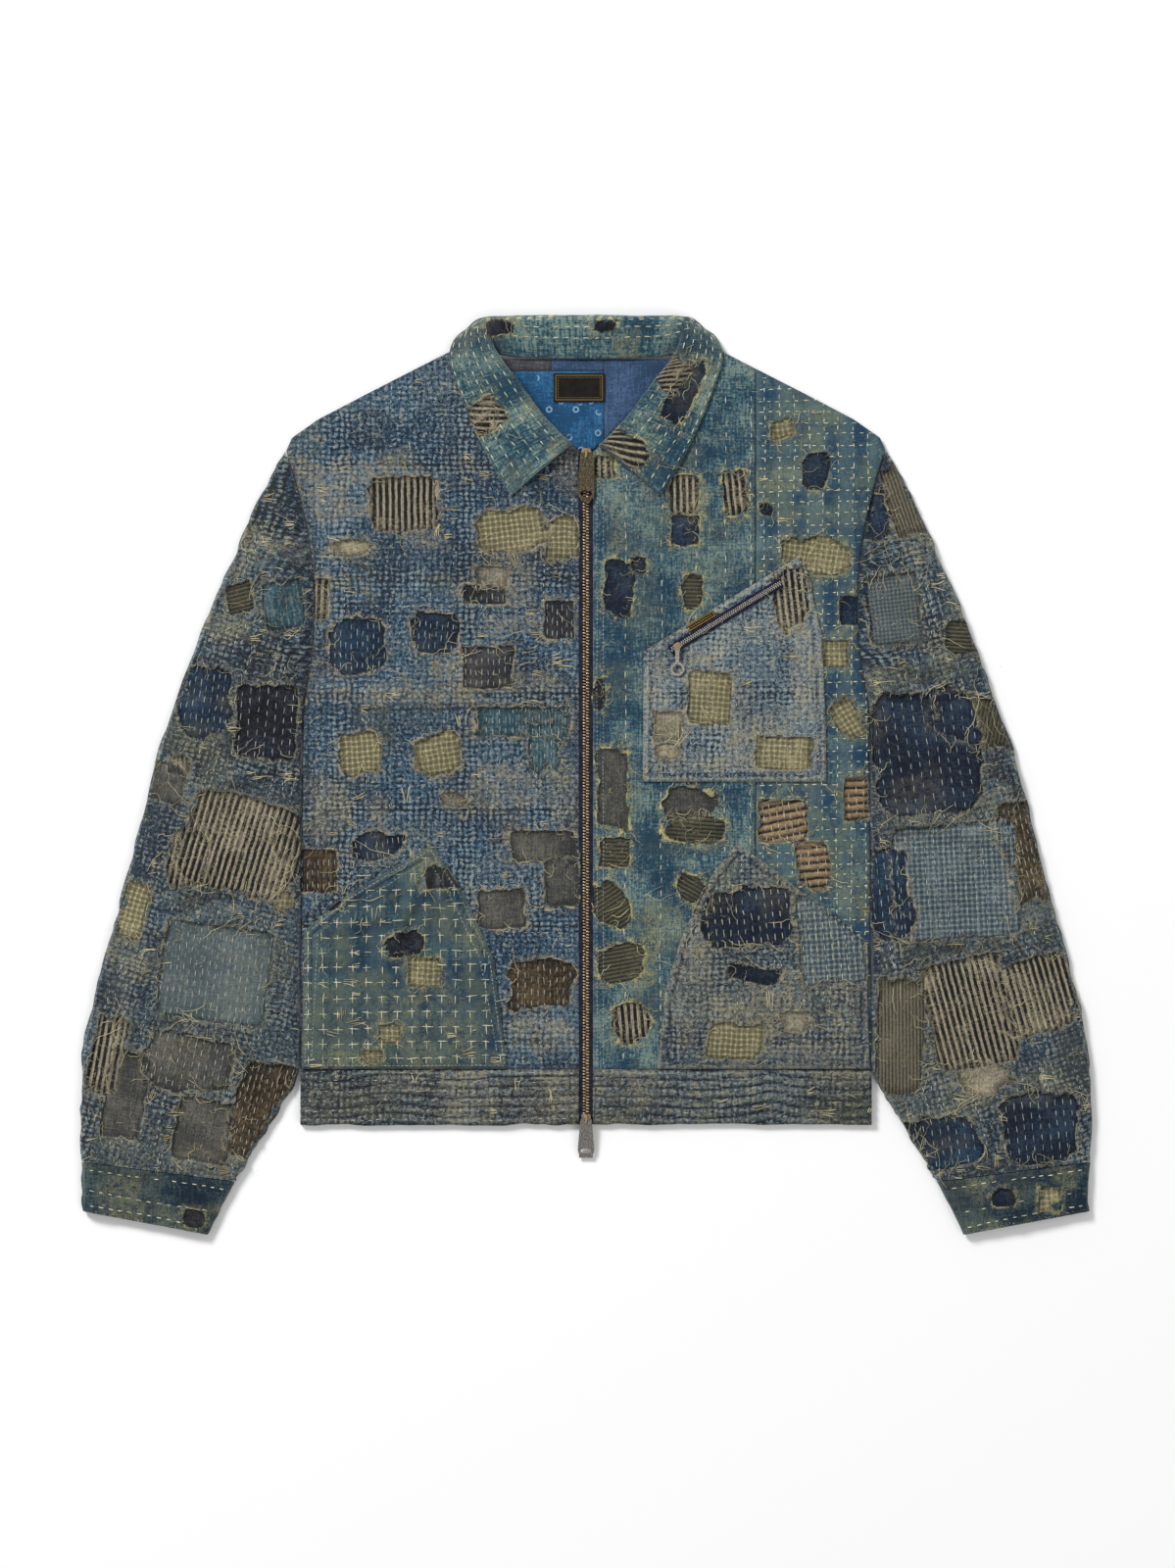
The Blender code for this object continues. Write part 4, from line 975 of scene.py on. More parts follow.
def set_in(bm, table, tone_table, cloths, depth=0.0011, curl=0.0009, extra=None):
    """Sets scraps into a sheet, and marks each point's distance to a rim, its tones, and its hollow for
    painted shade.
    """
    bm.verts.ensure_lookup_table()
    bm.normal_update()
    points = np.array([vert.co[:] for vert in bm.verts])
    edges = np.array([[vert.index for vert in edge.verts] for edge in bm.edges])
    upper = np.array([vert.normal.z > LOOKS_UP for vert in bm.verts])
    free = upper & ~np.array([vert.is_boundary for vert in bm.verts])
    for scrap in table:
        slide_to_outline(scrap, points, edges, free)
    x, y = points[:, 0], points[:, 1]
    rim = rim_distance(table, x, y, upper)
    outside = ease(rim, 0.0055, 0.0004) * (rim > 0)
    lift = curl * outside * np.maximum(0.1, 1.8 * ripple(x, y, 0.013, 41))
    points[:, 2] += np.where(upper, lift, 0.0)
    # hollow: how far a point lies under its neighbours, turned into painted shade in hollows and a painted
    # highlight on crests.
    marks = {"rim": rim, "hollow": hollows(edges, points[:, 2]) * free}
    marks |= {name: tone_at(tone_table, name, x, y) for name in TONE_NAMES}
    # extra raises the marks, for example with painted shade beside seams and in grooves.
    for name, values in (extra or {}).items():
        marks[name] = np.maximum(marks[name], values)
    layers = {name: bm.verts.layers.float.new(name) for name in marks}
    for vert, point in zip(bm.verts, points):
        vert.co = point
        for name, values in marks.items():
            vert[layers[name]] = float(values[vert.index])
    sink_scraps(bm, table, cloths, depth)


def sink_scraps(bm, table, cloths, depth):
    """Gives the cells inside each scrap its cloth and sinks them. The first scrap wins."""
    scrap_of = bm.faces.layers.int.new("scrap")
    x, y = np.array([face.calc_center_median()[:2] for face in bm.faces]).T
    looks_up = np.array([face.normal.z > LOOKS_UP for face in bm.faces])
    chosen = np.zeros(len(x), dtype=int)
    for number, scrap in reversed(list(enumerate(table, 1))):
        chosen[looks_up & (scrap_distance(scrap, x, y) < 0)] = number
    bm.faces.ensure_lookup_table()
    sunk = [bm.faces[index] for index in np.nonzero(chosen)[0]]
    if not sunk:
        return
    for face in sunk:
        face[scrap_of] = int(chosen[face.index])
        face.material_index = cloths.index(table[face[scrap_of] - 1].cloth)
    made = bmesh.ops.extrude_face_region(bm, geom=sunk)
    bmesh.ops.delete(bm, geom=[face for face in sunk if face.is_valid], context="FACES")
    for part in made["geom"]:
        if isinstance(part, bmesh.types.BMVert):
            part.co.z -= depth
    bm.normal_update()
    for face in bm.faces:
        if face[scrap_of] and abs(face.normal.z) < 0.5:
            face[scrap_of] = face.material_index = 0


def turned_back(loops, places, side):
    """Lays a face that wraps the outer fold at one end of the map, its true length across."""
    ends = [[k for k, (s, t) in enumerate(places) if (s * side < 0) == under] for under in (False, True)]
    over_s, under_s = (sum(places[k][0] for k in end) / len(end) for end in ends)
    over_at, under_at = (sum((loops[k].vert.co for k in end), Vector()) / len(end) for end in ends)
    turn = over_s - under_s + side * (over_at - under_at).length
    return [(s + turn if s * side < 0 else s, t) for s, t in places]


def write_map(bm, table, around=0.0):
    """Writes the flat place as a map. Each scrap's own weave is turned and shifted.

    around is the width of a tube all round, with the sign of its side. A tube's scraps
    read their weave from x and y, so that a stripe doesn't turn with the tube's map."""
    cloth_map = bm.loops.layers.uv.new("cloth")
    flat_s, flat_t = bm.verts.layers.float["flat_s"], bm.verts.layers.float["flat_t"]
    scrap_of = bm.faces.layers.int["scrap"]
    for face in bm.faces:
        number = face[scrap_of]
        places = [(loop.vert[flat_s], loop.vert[flat_t]) for loop in face.loops]
        if around and max(s for s, t in places) - min(s for s, t in places) > abs(around) / 4:
            places = turned_back(face.loops, places, 1 if around > 0 else -1)
        if number:
            if around:
                places = [tuple(loop.vert.co.xy) for loop in face.loops]
            turn = table[number - 1].turn + 0.05 * sin(table[number - 1].seed)
            c, s_turn, shift = cos(turn), sin(turn), 0.37 * number
            places = [(s * c + t * s_turn + shift, t * c - s * s_turn + shift) for s, t in places]
        for loop, place in zip(face.loops, places):
            loop[cloth_map].uv = place


# %% Finishing a piece
def cloth_list(base, *tables):
    """The base cloth and every cloth of some tables of scraps."""
    return [base] + sorted({scrap.cloth for table in tables for scrap in table})


def mesh_of(name, bm):
    mesh = bpy.data.meshes.new(name)
    bm.to_mesh(mesh)
    bm.free()
    return mesh


PIECES = {}


def finish_piece(name, bm, cloths, nodes=(), wall=0.0, offset=-1.0):
    """Makes an object of a bmesh, with its cloths, its wall and its body."""
    mesh = mesh_of(name + "_cloth", bm)
    for cloth in cloths:
        mesh.materials.append(CLOTHS[cloth])
    mesh.shade_smooth()
    mesh.set_sharp_from_angle(angle=radians(55))
    piece = PIECES[name] = add_object(name + "_cloth", mesh)
    if wall:
        shell = piece.modifiers.new("wall", "SOLIDIFY")
        shell.thickness = wall
        shell.offset = offset
        shell.use_quality_normals = True
    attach(piece, "jacket")
    if nodes:
        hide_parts(*nodes)
    print(f"{name}: {len(mesh.polygons)} faces")


# %% [markdown]
# ## The body
# The right front is one panel of slub tweed. The left front is worn indigo as far as an
# upright seam, and a strip of stitched squares from there to the side. All three reach
# from the hem seam up to the shoulder, so one function lays them between two edges. The
# back is a plain sheet below them: it shows only at its edges, so its grid is coarser.

# %% Fronts and back
def front_place(side, inner_limit, outer_limit, low_y, high_y):
    """Lays a grid between the front's inner and outer edges."""

    def place(u, v):
        y = mix(low_y, high_y, v)
        inner = np.maximum(np.interp(y, EDGE_Y, INNER_X), inner_limit)
        outer = np.minimum(np.interp(y, EDGE_Y, OUTER_X), outer_limit)
        x = side * mix(inner, outer, u)
        hem = 0.0007 * ease(np.minimum(u, 1 - u) * (outer - inner), 0.0035, 0.0)
        z = FRONT_TOP + body_rise(x, y) + nubs(x, y) * ease(np.abs(x), 0.008, 0.03) - hem
        return x, y, z, x, y

    return place


def seam_shade(bm):
    """Painted shade beside the armhole and hem seams: darkens the cloth there as the seams' shadow would.
    """
    x, y = plan(bm)
    armhole = np.abs(np.abs(x) - np.interp(y, EDGE_Y, OUTER_X)) * np.where(y > 0.36, 9.0, 1.0)
    return np.maximum(0.9 * ease(armhole, 0.010, 0.001), 0.7 * ease(np.abs(y - HEM_SEAM_Y), 0.008, 0.001))


def finish_sheet(name, bm, base, table, tone_table, wall, extra=None):
    """Sets scraps into an open sheet and makes it a piece."""
    cloths = cloth_list(base, table)
    set_in(bm, table, tone_table, cloths, extra=extra)
    write_map(bm, table)
    finish_piece(name, bm, cloths, nodes=[name], wall=wall)


def front_panel(name, side, limits, span, table, tone_table, base):
    across, along = (round((high - low) / CELL) for low, high in (limits, span))
    bm = laid_grid(across, along, front_place(side, *limits, *span))
    face_up(bm)
    # The deep mark gets painted shade beside the armhole and hem seams.
    finish_sheet(name, bm, base, table, tone_table, 0.0013, {"deep": seam_shade(bm)})


for name, side, inner, outer, high, *looks in (
        ("front_right", -1, ZIP_EDGE_X, FRONT_X, SHOULDER_Y, RIGHT_FRONT, RIGHT_TONES, "slub_tweed"),
        ("front_left", 1, ZIP_EDGE_X, SIDE_SEAM_X - GAP, SHOULDER_Y, LEFT_FRONT, LEFT_TONES, "worn_indigo"),
        ("front_left_side", 1, SIDE_SEAM_X + GAP, FRONT_X, 0.3515, LEFT_SIDE, SIDE_TONES,
         "stitched_check_indigo")):
    front_panel(name, side, (inner, outer), (HEM_SEAM_Y, high), *looks)


def back_place(u, v):
    y = mix(HEM_SEAM_Y, 0.3600, v)
    outer = np.interp(y, EDGE_Y, OUTER_X)
    x = (2 * u - 1) * outer
    return x, y, np.full_like(x, CLOTH), x, y


bm = laid_grid(96, 114, back_place)
face_up(bm)
finish_sheet("back", bm, "back_tweed", [], scattered_tones((-0.25, -0.25), (0.25, 0.35), 40, 33), CLOTH)

# %% [markdown]
# ### Pockets
# A patch pocket is a smaller sheet on the front, cut to a straight-sided outline. It
# lies on the same field of heights as the front, a cloth's thickness higher. Its edge is
# turned under, so the outer few millimetres are rolled down.

# %% Pocket outlines and sheets
LOW_Y = HEM_SEAM_Y + GAP
POCKET_SEAM = 0.0065        # from a pocket's edge to the row of stitches that holds it
POCKET_RIGHT = [(0.0680, LOW_Y), (0.2460, LOW_Y), (0.2440, -0.1350), (0.2070, -0.1040),
                (0.1340, -0.0610), (0.1050, -0.1040), (0.0800, -0.1590)]
POCKET_LEFT = [(0.0620, LOW_Y), (0.2460, LOW_Y), (0.2420, -0.1360), (0.1560, -0.0770),
               (0.1320, -0.0580), (0.1100, -0.0850), (0.0830, -0.1390), (0.0680, -0.1900)]
POCKET_CHEST = [(0.0490, -0.0060), (0.2080, -0.0060), (0.2080, 0.0400), (0.2040, 0.1210),
                (0.1930, 0.1690), (0.1840, 0.1890), (0.0500, 0.1070)]


def edge_distance(x, y, outline):
    """Distance to the nearest side of an outline."""
    sides = zip(outline, outline[1:] + outline[:1])
    return np.min([line_distance(x, y, a, b) for a, b in sides], axis=0)


def pocket(name, side, outline, table, tone_table, base, gathers=(), edge_pale=0.7, over_zip=False):
    outline = [(side * x, y) for x, y in outline][::side]
    place, width, length = rectangle(outline)
    bm = laid_grid(round(width / CELL), round(length / CELL), place)
    face_up(bm)
    trimmed(bm, outline)
    bm.verts.index_update()
    x, y = plan(bm)
    roll = edge_distance(x, y, outline)
    flat = ease(line_distance(x, y, *CHEST_ZIP), 0.010, 0.030) if over_zip else 1.0
    z = POCKET_TOP + body_rise(x, y) + flat * nubs(x, y, 1.3)
    z += ease(roll, 0.002, 0.012) * fold_rise(x, y, gathers)
    z += flat * 0.0007 * ease(roll, 0.0, 0.020) - 0.0011 * ease(roll, 0.0040, 0.0)
    z -= flat * 0.0008 * ease(np.abs(roll - POCKET_SEAM), 0.0024, 0.0)
    for vert, height in zip(bm.verts, z):
        vert.co.z = height
    # pale is wear on the rolled edge; deep is painted shade in the groove along the row of stitches.
    edges = {"pale": edge_pale * ease(roll, 0.0045, 0.0010),
             "deep": 0.9 * ease(np.abs(roll - POCKET_SEAM), 0.0022, 0.0004)}
    finish_sheet(name, bm, base, table, tone_table, 0.0015, edges)


POCKET_GATHERS = folds("""
    -166 -112 62 80 5 -1.1; -157 -114 70 90 5 1.4; -148 -110 79 80 4.5 -1.1; -140 -108 88 80 5 1.4
    -131 -108 98 80 4.5 -1; -123 -114 106 90 5 1.3; -200 -128 18 70 5 1.1; -196 -138 10 60 4.5 -0.9
""")
pocket("pocket_right", -1, POCKET_RIGHT, POCKET_RIGHT_SCRAPS, POCKET_RIGHT_TONES, "pocket_check",
       POCKET_GATHERS, edge_pale=0.3)
pocket("pocket_left", 1, POCKET_LEFT, POCKET_LEFT_SCRAPS, POCKET_LEFT_TONES, "pocket_tweed")
pocket("pocket_chest", 1, POCKET_CHEST, POCKET_CHEST_SCRAPS, CHEST_TONES, "pocket_pale_tweed",
       over_zip=True)

# %% [markdown]
# ### Hem band
# A folded band, quilted with rows of thread along its length, closes the hem. Quilting
# pulls the cloth down along each row and leaves it full between two rows, so the band's
# height is a row of soft ridges. Its grid is finer across the ridges than along them.

# %% Hem bands
BAND_TOP = 0.0051
QUILTING = 0.0082           # from one row of quilting to the next
BAND = "hem_band_tweed"


def ridged(across, spacing, depth):
    """Height of soft ridges between quilting rows."""
    return depth * (np.abs(np.sin(pi * across / spacing)) ** 0.6 - 0.6)


def band_sway(x, y):
    """How far a quilting row wanders at (x, y)."""
    return 0.0036 * ripple(x, 0.4 * y, 0.055, 51) + 0.0020 * ripple(x, 0.4 * y, 0.020, 53)


def band_place(low_x, high_x, top, ridge):
    def place(u, v):
        x = mix(low_x, high_x, u)
        uneven = 0.0009 * ripple(x, 0 * x, 0.024, 54) + 0.0006 * ripple(x, 0 * x, 0.009, 55)
        y = mix(HEM_Y + uneven, HEM_SEAM_Y - GAP, v)
        ends = ease(np.minimum(v, 1 - v), 0.0, 0.08)
        quilted = ridged(y + band_sway(x, y), QUILTING, 0.0023) + nubs(x, y, 1.4)
        z = top + ridge * ends * quilted - 0.0006 * (1 - ends)
        z += ridge * ease(np.abs(x), 0.010, 0.060) * 0.0008 * (1 + ripple(x, y, 0.070, 52)) * ends
        return x, y, z, x, y

    return place


for name, low_x, high_x, top, wall, ridge, along in (
        ("hem_band_right", -0.2475, -ZIP_EDGE_X, BAND_TOP, 0.0024, 1.0, 32),
        ("hem_band_left", ZIP_EDGE_X, 0.2475, BAND_TOP, 0.0024, 1.0, 32),
        ("hem_band_back", -0.2475, 0.2475, CLOTH, CLOTH, 0.0, 8)):
    across = round((high_x - low_x) / (CELL * 1.1))
    bm = laid_grid(across, along, band_place(low_x, high_x, top, ridge))
    face_up(bm)
    x, y = plan(bm)
    # Painted shade in the valleys between quilting rows; the crests are made paler.
    crest = np.abs(np.sin(pi * (y + band_sway(x, y)) / QUILTING))
    shade = {"deep": ease(crest, 0.42, 0.08), "pale": 0.45 * ease(crest, 0.6, 1.0)}
    finish_sheet(name, bm, BAND, [], BAND_TONES, wall, shade)

# %% [markdown]
# ## Sleeves
# A sleeve laid flat is a tube pressed nearly shut. Its grid runs round the tube: across
# the top from the outer fold to the inner fold, and back along the table in fewer, wider
# steps. Along the sleeve it goes down the outside and then, in a few long steps, back up
# the inside, which gives the cloth its thickness and closes both ends. Air and old
# creases lift the top; the underside stays on the table.

# %% Sleeve sections
Section = namedtuple("Section", "out_x out_y in_x in_y bow height")
SLEEVE = [Section(*metres(*row)) for row in rows_of("""
    260.8 280 246.4 58 16.8 5.4; 284 238 247 22 0 7; 303 195 247.2 -15 0 8
    325 143 247.3 -60 0 8; 348 83 247.6 -110 0 8; 370 20 247.9 -160 0 8
    388 -50 248.2 -210 0 8; 406 -118 248.6 -257 0 8; 422 -176 265 -288 0 8
    434 -230 280 -313 0 8; 438.5 -285 294.5 -337 0 8; 437 -335 304 -352 0 7.8
""")]
CUFF_END = Section(0.4360, -0.3780, 0.3270, -0.3985, 0.0000, 0.0076)
CUFF = [Section(*[mix(a, b, t) for a, b in zip(SLEEVE[-1], CUFF_END)]) for t in (0.0155, 0.34, 0.67, 1.0)]
RIGHT_SLEEVE_FOLDS = folds("""
    -255 190 70 60 10 3; -285 130 60 60 12 2.5; -270 60 40 50 10 -2; -310 0 20 60 12 3
    -270 -40 30 50 8 2; -330 -110 12 60 9 -2.2; -350 -125 12 60 12 2.4; -300 -160 60 60 12 2
    -360 -215 14 70 9 -2; -370 -290 70 50 12 2.4; -310 -330 20 50 10 2.2; -400 -230 80 60 10 2
    -380 -60 74 70 10 2.2; -340 60 66 60 10 1.8
""")
LEFT_SLEEVE_FOLDS = folds("""
    262 200 104 60 10 3; 300 150 120 60 12 2.4; 285 85 160 60 9 -2.2; 310 70 160 60 10 2.6
    330 -30 170 70 9 -2; 320 -45 170 70 10 2.2; 275 -80 110 60 10 2.2; 360 -110 110 60 12 2
    320 -155 168 70 9 -2.2; 350 -170 168 60 10 2.2; 300 -280 150 50 9 2.6; 360 -270 165 60 9 -2
    410 -260 100 60 10 2.2; 340 -340 160 50 10 2.4
""")


def through(a, b, c, d, t):
    """A place between b and c on the smooth curve through four points."""
    return 0.5 * (2 * b + (c - a) * t + (2 * a - 5 * b + 4 * c - d) * t * t
                  + (3 * b - a - 3 * c + d) * t ** 3)


def smooth_through(points, position):
    """Smooth curve through rows of numbers, at positions counted in rows."""
    points = np.asarray(points, dtype=float)
    last = len(points) - 1
    start = np.clip((position + 1e-6).astype(int), 0, last - 1)
    near = [points[np.clip(start + step, 0, last)] for step in (-1, 0, 1, 2)]
    return through(*near, (position - start)[:, None])


UNDER_COLUMNS = 22          # cells across a tube's underside, which is seldom seen
TUBE_WALL = 0.0016


def tube_place(side, sections, length, fine, coarse, top_columns, lift, folds, seed, row_ridge):
    """Lays a grid as a flattened tube with an inner face."""
    rows = fine + coarse + 2
    columns = top_columns + UNDER_COLUMNS
    steps = np.concatenate([np.linspace(0, 1, fine + 1), np.linspace(1, 0, coarse + 1), [0.0]])
    inner = np.concatenate([np.zeros(fine + 1), np.ones(coarse + 1), [0.0]])
    start_x, start_y = sections[0][:2]
    fold_x, fold_y = Vector((sections[-1].out_x - start_x, sections[-1].out_y - start_y)).normalized()

    def place(u, v):
        index = np.round(v * rows).astype(int)
        down, inset = steps[index], inner[index] * TUBE_WALL
        far = down * length
        column = np.round(u * columns).astype(int) % columns
        over = column <= top_columns
        a = np.where(over, column / top_columns, 1 - (column - top_columns) / UNDER_COLUMNS)
        t = mix(a, 0.5 - 0.5 * np.cos(pi * a), 0.35)
        out_x, out_y, in_x, in_y, bow, thick = smooth_through(sections, down * (len(sections) - 1)).T
        width = np.hypot(in_x - out_x, in_y - out_y)
        t_in = np.clip(t, inset / width, 1 - inset / width)
        pucker = ripple(far, t, 0.017, seed + 5) + 0.8 * ripple(far, t, 0.007, seed + 6)
        bow = bow * 4 * t * (1 - t) - 0.0011 * pucker * (1 - 2 * t) ** 3 * ease(far, 0.0, 0.02)
        x = side * (mix(out_x, in_x, t_in) - bow)
        y = mix(out_y, in_y, t_in)
        from_edge = np.minimum(t, 1 - t) * width
        round_edge = np.sqrt(1 - (1 - np.clip(from_edge / 0.0055, 0, 1)) ** 2)
        free = ease(from_edge, 0.002, 0.040) * ease(far, 0.004, 0.045)
        free = free * ease((1 - down) * length, 0.002, 0.030)
        air = lift * (1 + 0.35 * ripple(x, y, 0.080, seed) + 0.2 * ripple(x, y, 0.035, seed + 1))
        high = thick + free * (air + fold_rise(x, y, folds))
        high += ease(from_edge, 0.0, 0.01) * nubs(x, y, 1.8)
        if row_ridge:
            high += ridged(far, row_ridge, 0.0009) * ease(from_edge, 0.0, 0.008)
        high = np.where(inset > 0, thick - inset, high)
        z_top = thick / 2 + (high - thick / 2) * round_edge
        z_low = thick / 2 - (thick / 2 - inset) * round_edge
        plain_x, plain_y = mix(out_x, in_x, t), mix(out_y, in_y, t)
        s = (plain_x - out_x) * fold_y - (plain_y - out_y) * fold_x
        bend = (out_x - start_x) * fold_y - (out_y - start_y) * fold_x
        down_cut = (plain_x - start_x) * fold_x + (plain_y - start_y) * fold_y
        cut_s = np.where(over, bend + s, bend - s) * side
        return x, y, np.where(over, z_top, z_low), cut_s, down_cut + 2 * inset

    return place, columns, rows


def tube_piece(name, side, sections, lift, folds, table, tone_table, base, seed, row_ridge=0.0, cell=CELL):
    middles = [((row.out_x + row.in_x) / 2, (row.out_y + row.in_y) / 2) for row in sections]
    length = sum(hypot(b[0] - a[0], b[1] - a[1]) for a, b in zip(middles, middles[1:]))
    width = max(hypot(row.in_x - row.out_x, row.in_y - row.out_y) for row in sections)
    place, columns, rows = tube_place(side, sections, length, round(length / cell),
                                      max(3, round(length / 0.05)), round(width * 0.92 / cell), lift,
                                      folds, seed, row_ridge)
    bm = laid_grid(columns, rows, place)
    face_up(bm, 0.005)
    cloths = cloth_list(base, table)
    # The deep mark gets painted shade beside the armhole and hem seams.
    set_in(bm, table, tone_table, cloths, depth=0.0014, curl=0.0012, extra={"deep": seam_shade(bm)})
    write_map(bm, table, around=2 * width * side)
    finish_piece(name, bm, cloths, nodes=[name])


SIDES = ((-1, "right"), (1, "left"))
for (side, word), lift, *tables, seed in zip(
        SIDES, (0.0034, 0.0036), (RIGHT_SLEEVE_FOLDS, LEFT_SLEEVE_FOLDS), (RIGHT_SLEEVE, LEFT_SLEEVE),
        (SLEEVE_RIGHT_TONES, SLEEVE_LEFT_TONES), (61, 71)):
    tube_piece("sleeve_" + word, side, SLEEVE, lift, *tables, "sleeve_tweed", seed)
for (side, word), seed in zip(SIDES, (63, 73)):
    tube_piece("cuff_" + word, side, CUFF, 0.0010, [], CUFF_SCRAPS, CUFF_TONES, "cuff_indigo", seed,
               row_ridge=0.0085, cell=0.0020)

# %% [markdown]
# ## Collar
# The collar is one strip that stands up from the neck seam, rolls over, and falls to its
# edge: two pointed leaves in front, a stand behind. Its sections are four points each,
# so two smooth curves, one along the strip and one across it, give every place.

# %% Collar
COLLAR = np.array([metres(*row) for row in rows_of("""
    13 281 5.7 14 284 12 40 263 9.2 65 241 6.4; 26 293.5 5.7 28 298 14.2 56 285 10.2 81 268 6.4
    40 309.5 5.7 42 314 15.5 70 304 10.8 93 292 6.4; 54 328 5.7 56 334 16.2 82 325 11 103 315 6.4
    66.5 344 5.7 68 350 16.6 92 344 11 111.5 337 6.4; 75.5 354.5 5.7 76 361 16.8 99 360 10.6 118 357 6.4
    81 361 5.7 81.5 372 16.8 102 374 9.6 117 370.5 6.4; 80.5 365 5.7 85 384 16.4 101 386 8 108.5 382.5 1.6
    74 364 5.4 81 390.5 16 92 395 6.4 93 386 1.5; 60 362 5 65 392 15.6 69 396 5.8 69 378 1.5
    30 361 5 32 392 15.2 33 396 5.6 33 376 1.5; 0 360.5 5 0 392 15 0 396 5.6 0 375.5 1.5
""")]).reshape(-1, 4, 3)
COLLAR_ROWS = np.concatenate([COLLAR, COLLAR[-2::-1] * np.array([-1.0, 1.0, 1.0])])
COLLAR_LENGTH = 0.560
COLLAR_WIDTH = 0.066


def collar_point(u, v):
    """A place on the strip, u across from seam to edge and v along from left to right."""
    position = v * (len(COLLAR_ROWS) - 1)
    columns = np.stack([smooth_through(COLLAR_ROWS[:, column], position) for column in range(4)])
    start = np.clip((u * 3 + 1e-6).astype(int), 0, 2)
    near = [columns[np.clip(start + step, 0, 3), np.arange(len(u))] for step in (-1, 0, 1, 2)]
    return through(*near, (u * 3 - start)[:, None])


def collar_place(u, v):
    h = 0.002
    point = collar_point(u, v)
    one = collar_point(np.clip(u + h, 0, 1), v) - collar_point(np.clip(u - h, 0, 1), v)
    two = collar_point(u, np.clip(v + h, 0, 1)) - collar_point(u, np.clip(v - h, 0, 1))
    normal = np.cross(two, one)
    normal /= np.maximum(np.linalg.norm(normal, axis=1), 1e-9)[:, None]
    s, t = u * COLLAR_WIDTH, v * COLLAR_LENGTH
    free = ease(u, 0.25, 0.45) * ease(1 - u, 0.02, 0.2)
    rise = free * (0.0007 * ripple(t, s, 0.040, 81) + 0.0006) + nubs(t, s, 1.1) * ease(u, 0.1, 0.3)
    rise -= 0.0005 * ease(np.abs(u - 0.93), 0.03, 0.0)
    return *(point + normal * rise[:, None]).T, t, s


bm = laid_grid(34, 236, collar_place)
face_up(bm, 0.0075)
cloths = cloth_list("collar_indigo", COLLAR_SCRAPS)
set_in(bm, COLLAR_SCRAPS, COLLAR_TONES, cloths, depth=0.0006, curl=0.0006)
write_map(bm, COLLAR_SCRAPS)
finish_piece("collar", bm, cloths, nodes=["collar"], wall=0.0018, offset=0.0)

# %% [markdown]
# ## Lining and labels
# In the open neck three cloths show: a grey strip, a bright blue one with small ring
# marks, and a mauve blue. They lie almost flat on the back. The labels are stiff woven
# tape, so their solids stay; they only need cloth on them, with no words.

# %% Lining cloths
for name, *colours in (("grey_lining", "#34353a", "#48494f", "#5d5d60"),
                       ("mauve_lining", "#2a3f5a", "#385070", "#4b6384")):
    cotton(name, *colours, 0.8, bump=0.0003, tint=0.3)
g, spot = start_cloth("blue_lining")
made = g.place(dyed, Vector=spot, Deep="#153f62", Mid="#22567f", Pale="#3b6f99", Contrast=0.8)
gap = g.values("TexVoronoi", {"Vector": spot, "Scale": 62.0, "Randomness": 0.75},
               voronoi_dimensions="2D", feature="F1")["Distance"]
ring = g.span(gap, 0.08, 0.11) * g.span(gap, 0.19, 0.16) * g.span(g.noise(spot, 0.02, 1.0), 0.44, 0.52)
colour = g.blend(ring * 0.75, made["Colour"], "#8fb0c8")
end_cloth(g, spot, colour, made["Height"], bump=0.0003, tint=0.2)

# %% Lining pieces
LINING_TOP = 0.0035
LINING = {
    "grey": [(-0.0740, 0.3500), (-0.0303, 0.3500), (-0.0303, 0.3600), (-0.0740, 0.3600)],
    "blue": [(-0.0720, 0.3497), (-0.0565, 0.3300), (-0.0345, 0.3080), (-0.0065, 0.2815),
             (0.0065, 0.2815), (0.0157, 0.2900), (0.0157, 0.3497)],
    "mauve": [(0.0160, 0.2895), (0.0345, 0.3080), (0.0565, 0.3300), (0.0740, 0.3520), (0.0740, 0.3600),
              (0.0160, 0.3600)],
}


LABEL_AT = (-0.0060, 0.3355)
LABEL_REACH = (0.028, 0.018)


def lining_piece(word, outline):
    flat_place, width, length = rectangle(outline)

    def place(u, v):
        x, y, _, s, t = flat_place(u, v)
        reach = np.hypot((x - LABEL_AT[0]) / LABEL_REACH[0], (y - LABEL_AT[1]) / LABEL_REACH[1])
        z = LINING_TOP + ease(reach, 1.0, 1.5) * (0.0004 * ripple(x, y, 0.018, 91) - 0.0001)
        return x, y, z, s, t

    bm = laid_grid(round(width / 0.003), round(length / 0.003), place)
    face_up(bm)
    trimmed(bm, outline)
    finish_sheet("lining_" + word, bm, word + "_lining", [], [], 0.0008)


for word, outline in LINING.items():
    lining_piece(word, outline)


def strip_place(u, v):
    """The strip of the mauve lining beside the top end of the zip."""
    x, y = mix(-0.0300, 0.0160, u), mix(0.3500, 0.3600, v)
    return x, y, np.full_like(u, LINING_TOP), u * 0.046, v * 0.010


bm = laid_grid(16, 4, strip_place)
face_up(bm)
set_in(bm, [], [], ["mauve_lining"])
write_map(bm, [])
finish_piece("lining_mauve_strip", bm, ["mauve_lining"], wall=0.0008)

# %% [markdown]
# ## Threads
# Every mend was sewn by hand with thick cotton in running stitch: a dash of thread on
# top, a gap, a dash. One dash is a short bar that dips at both ends. Geometry Nodes set
# a copy of it on each place, turned along its row and tipped with the cloth, and the
# copies are made real so that they are one joined mesh. Places come from casting a ray
# down onto the finished cloth.

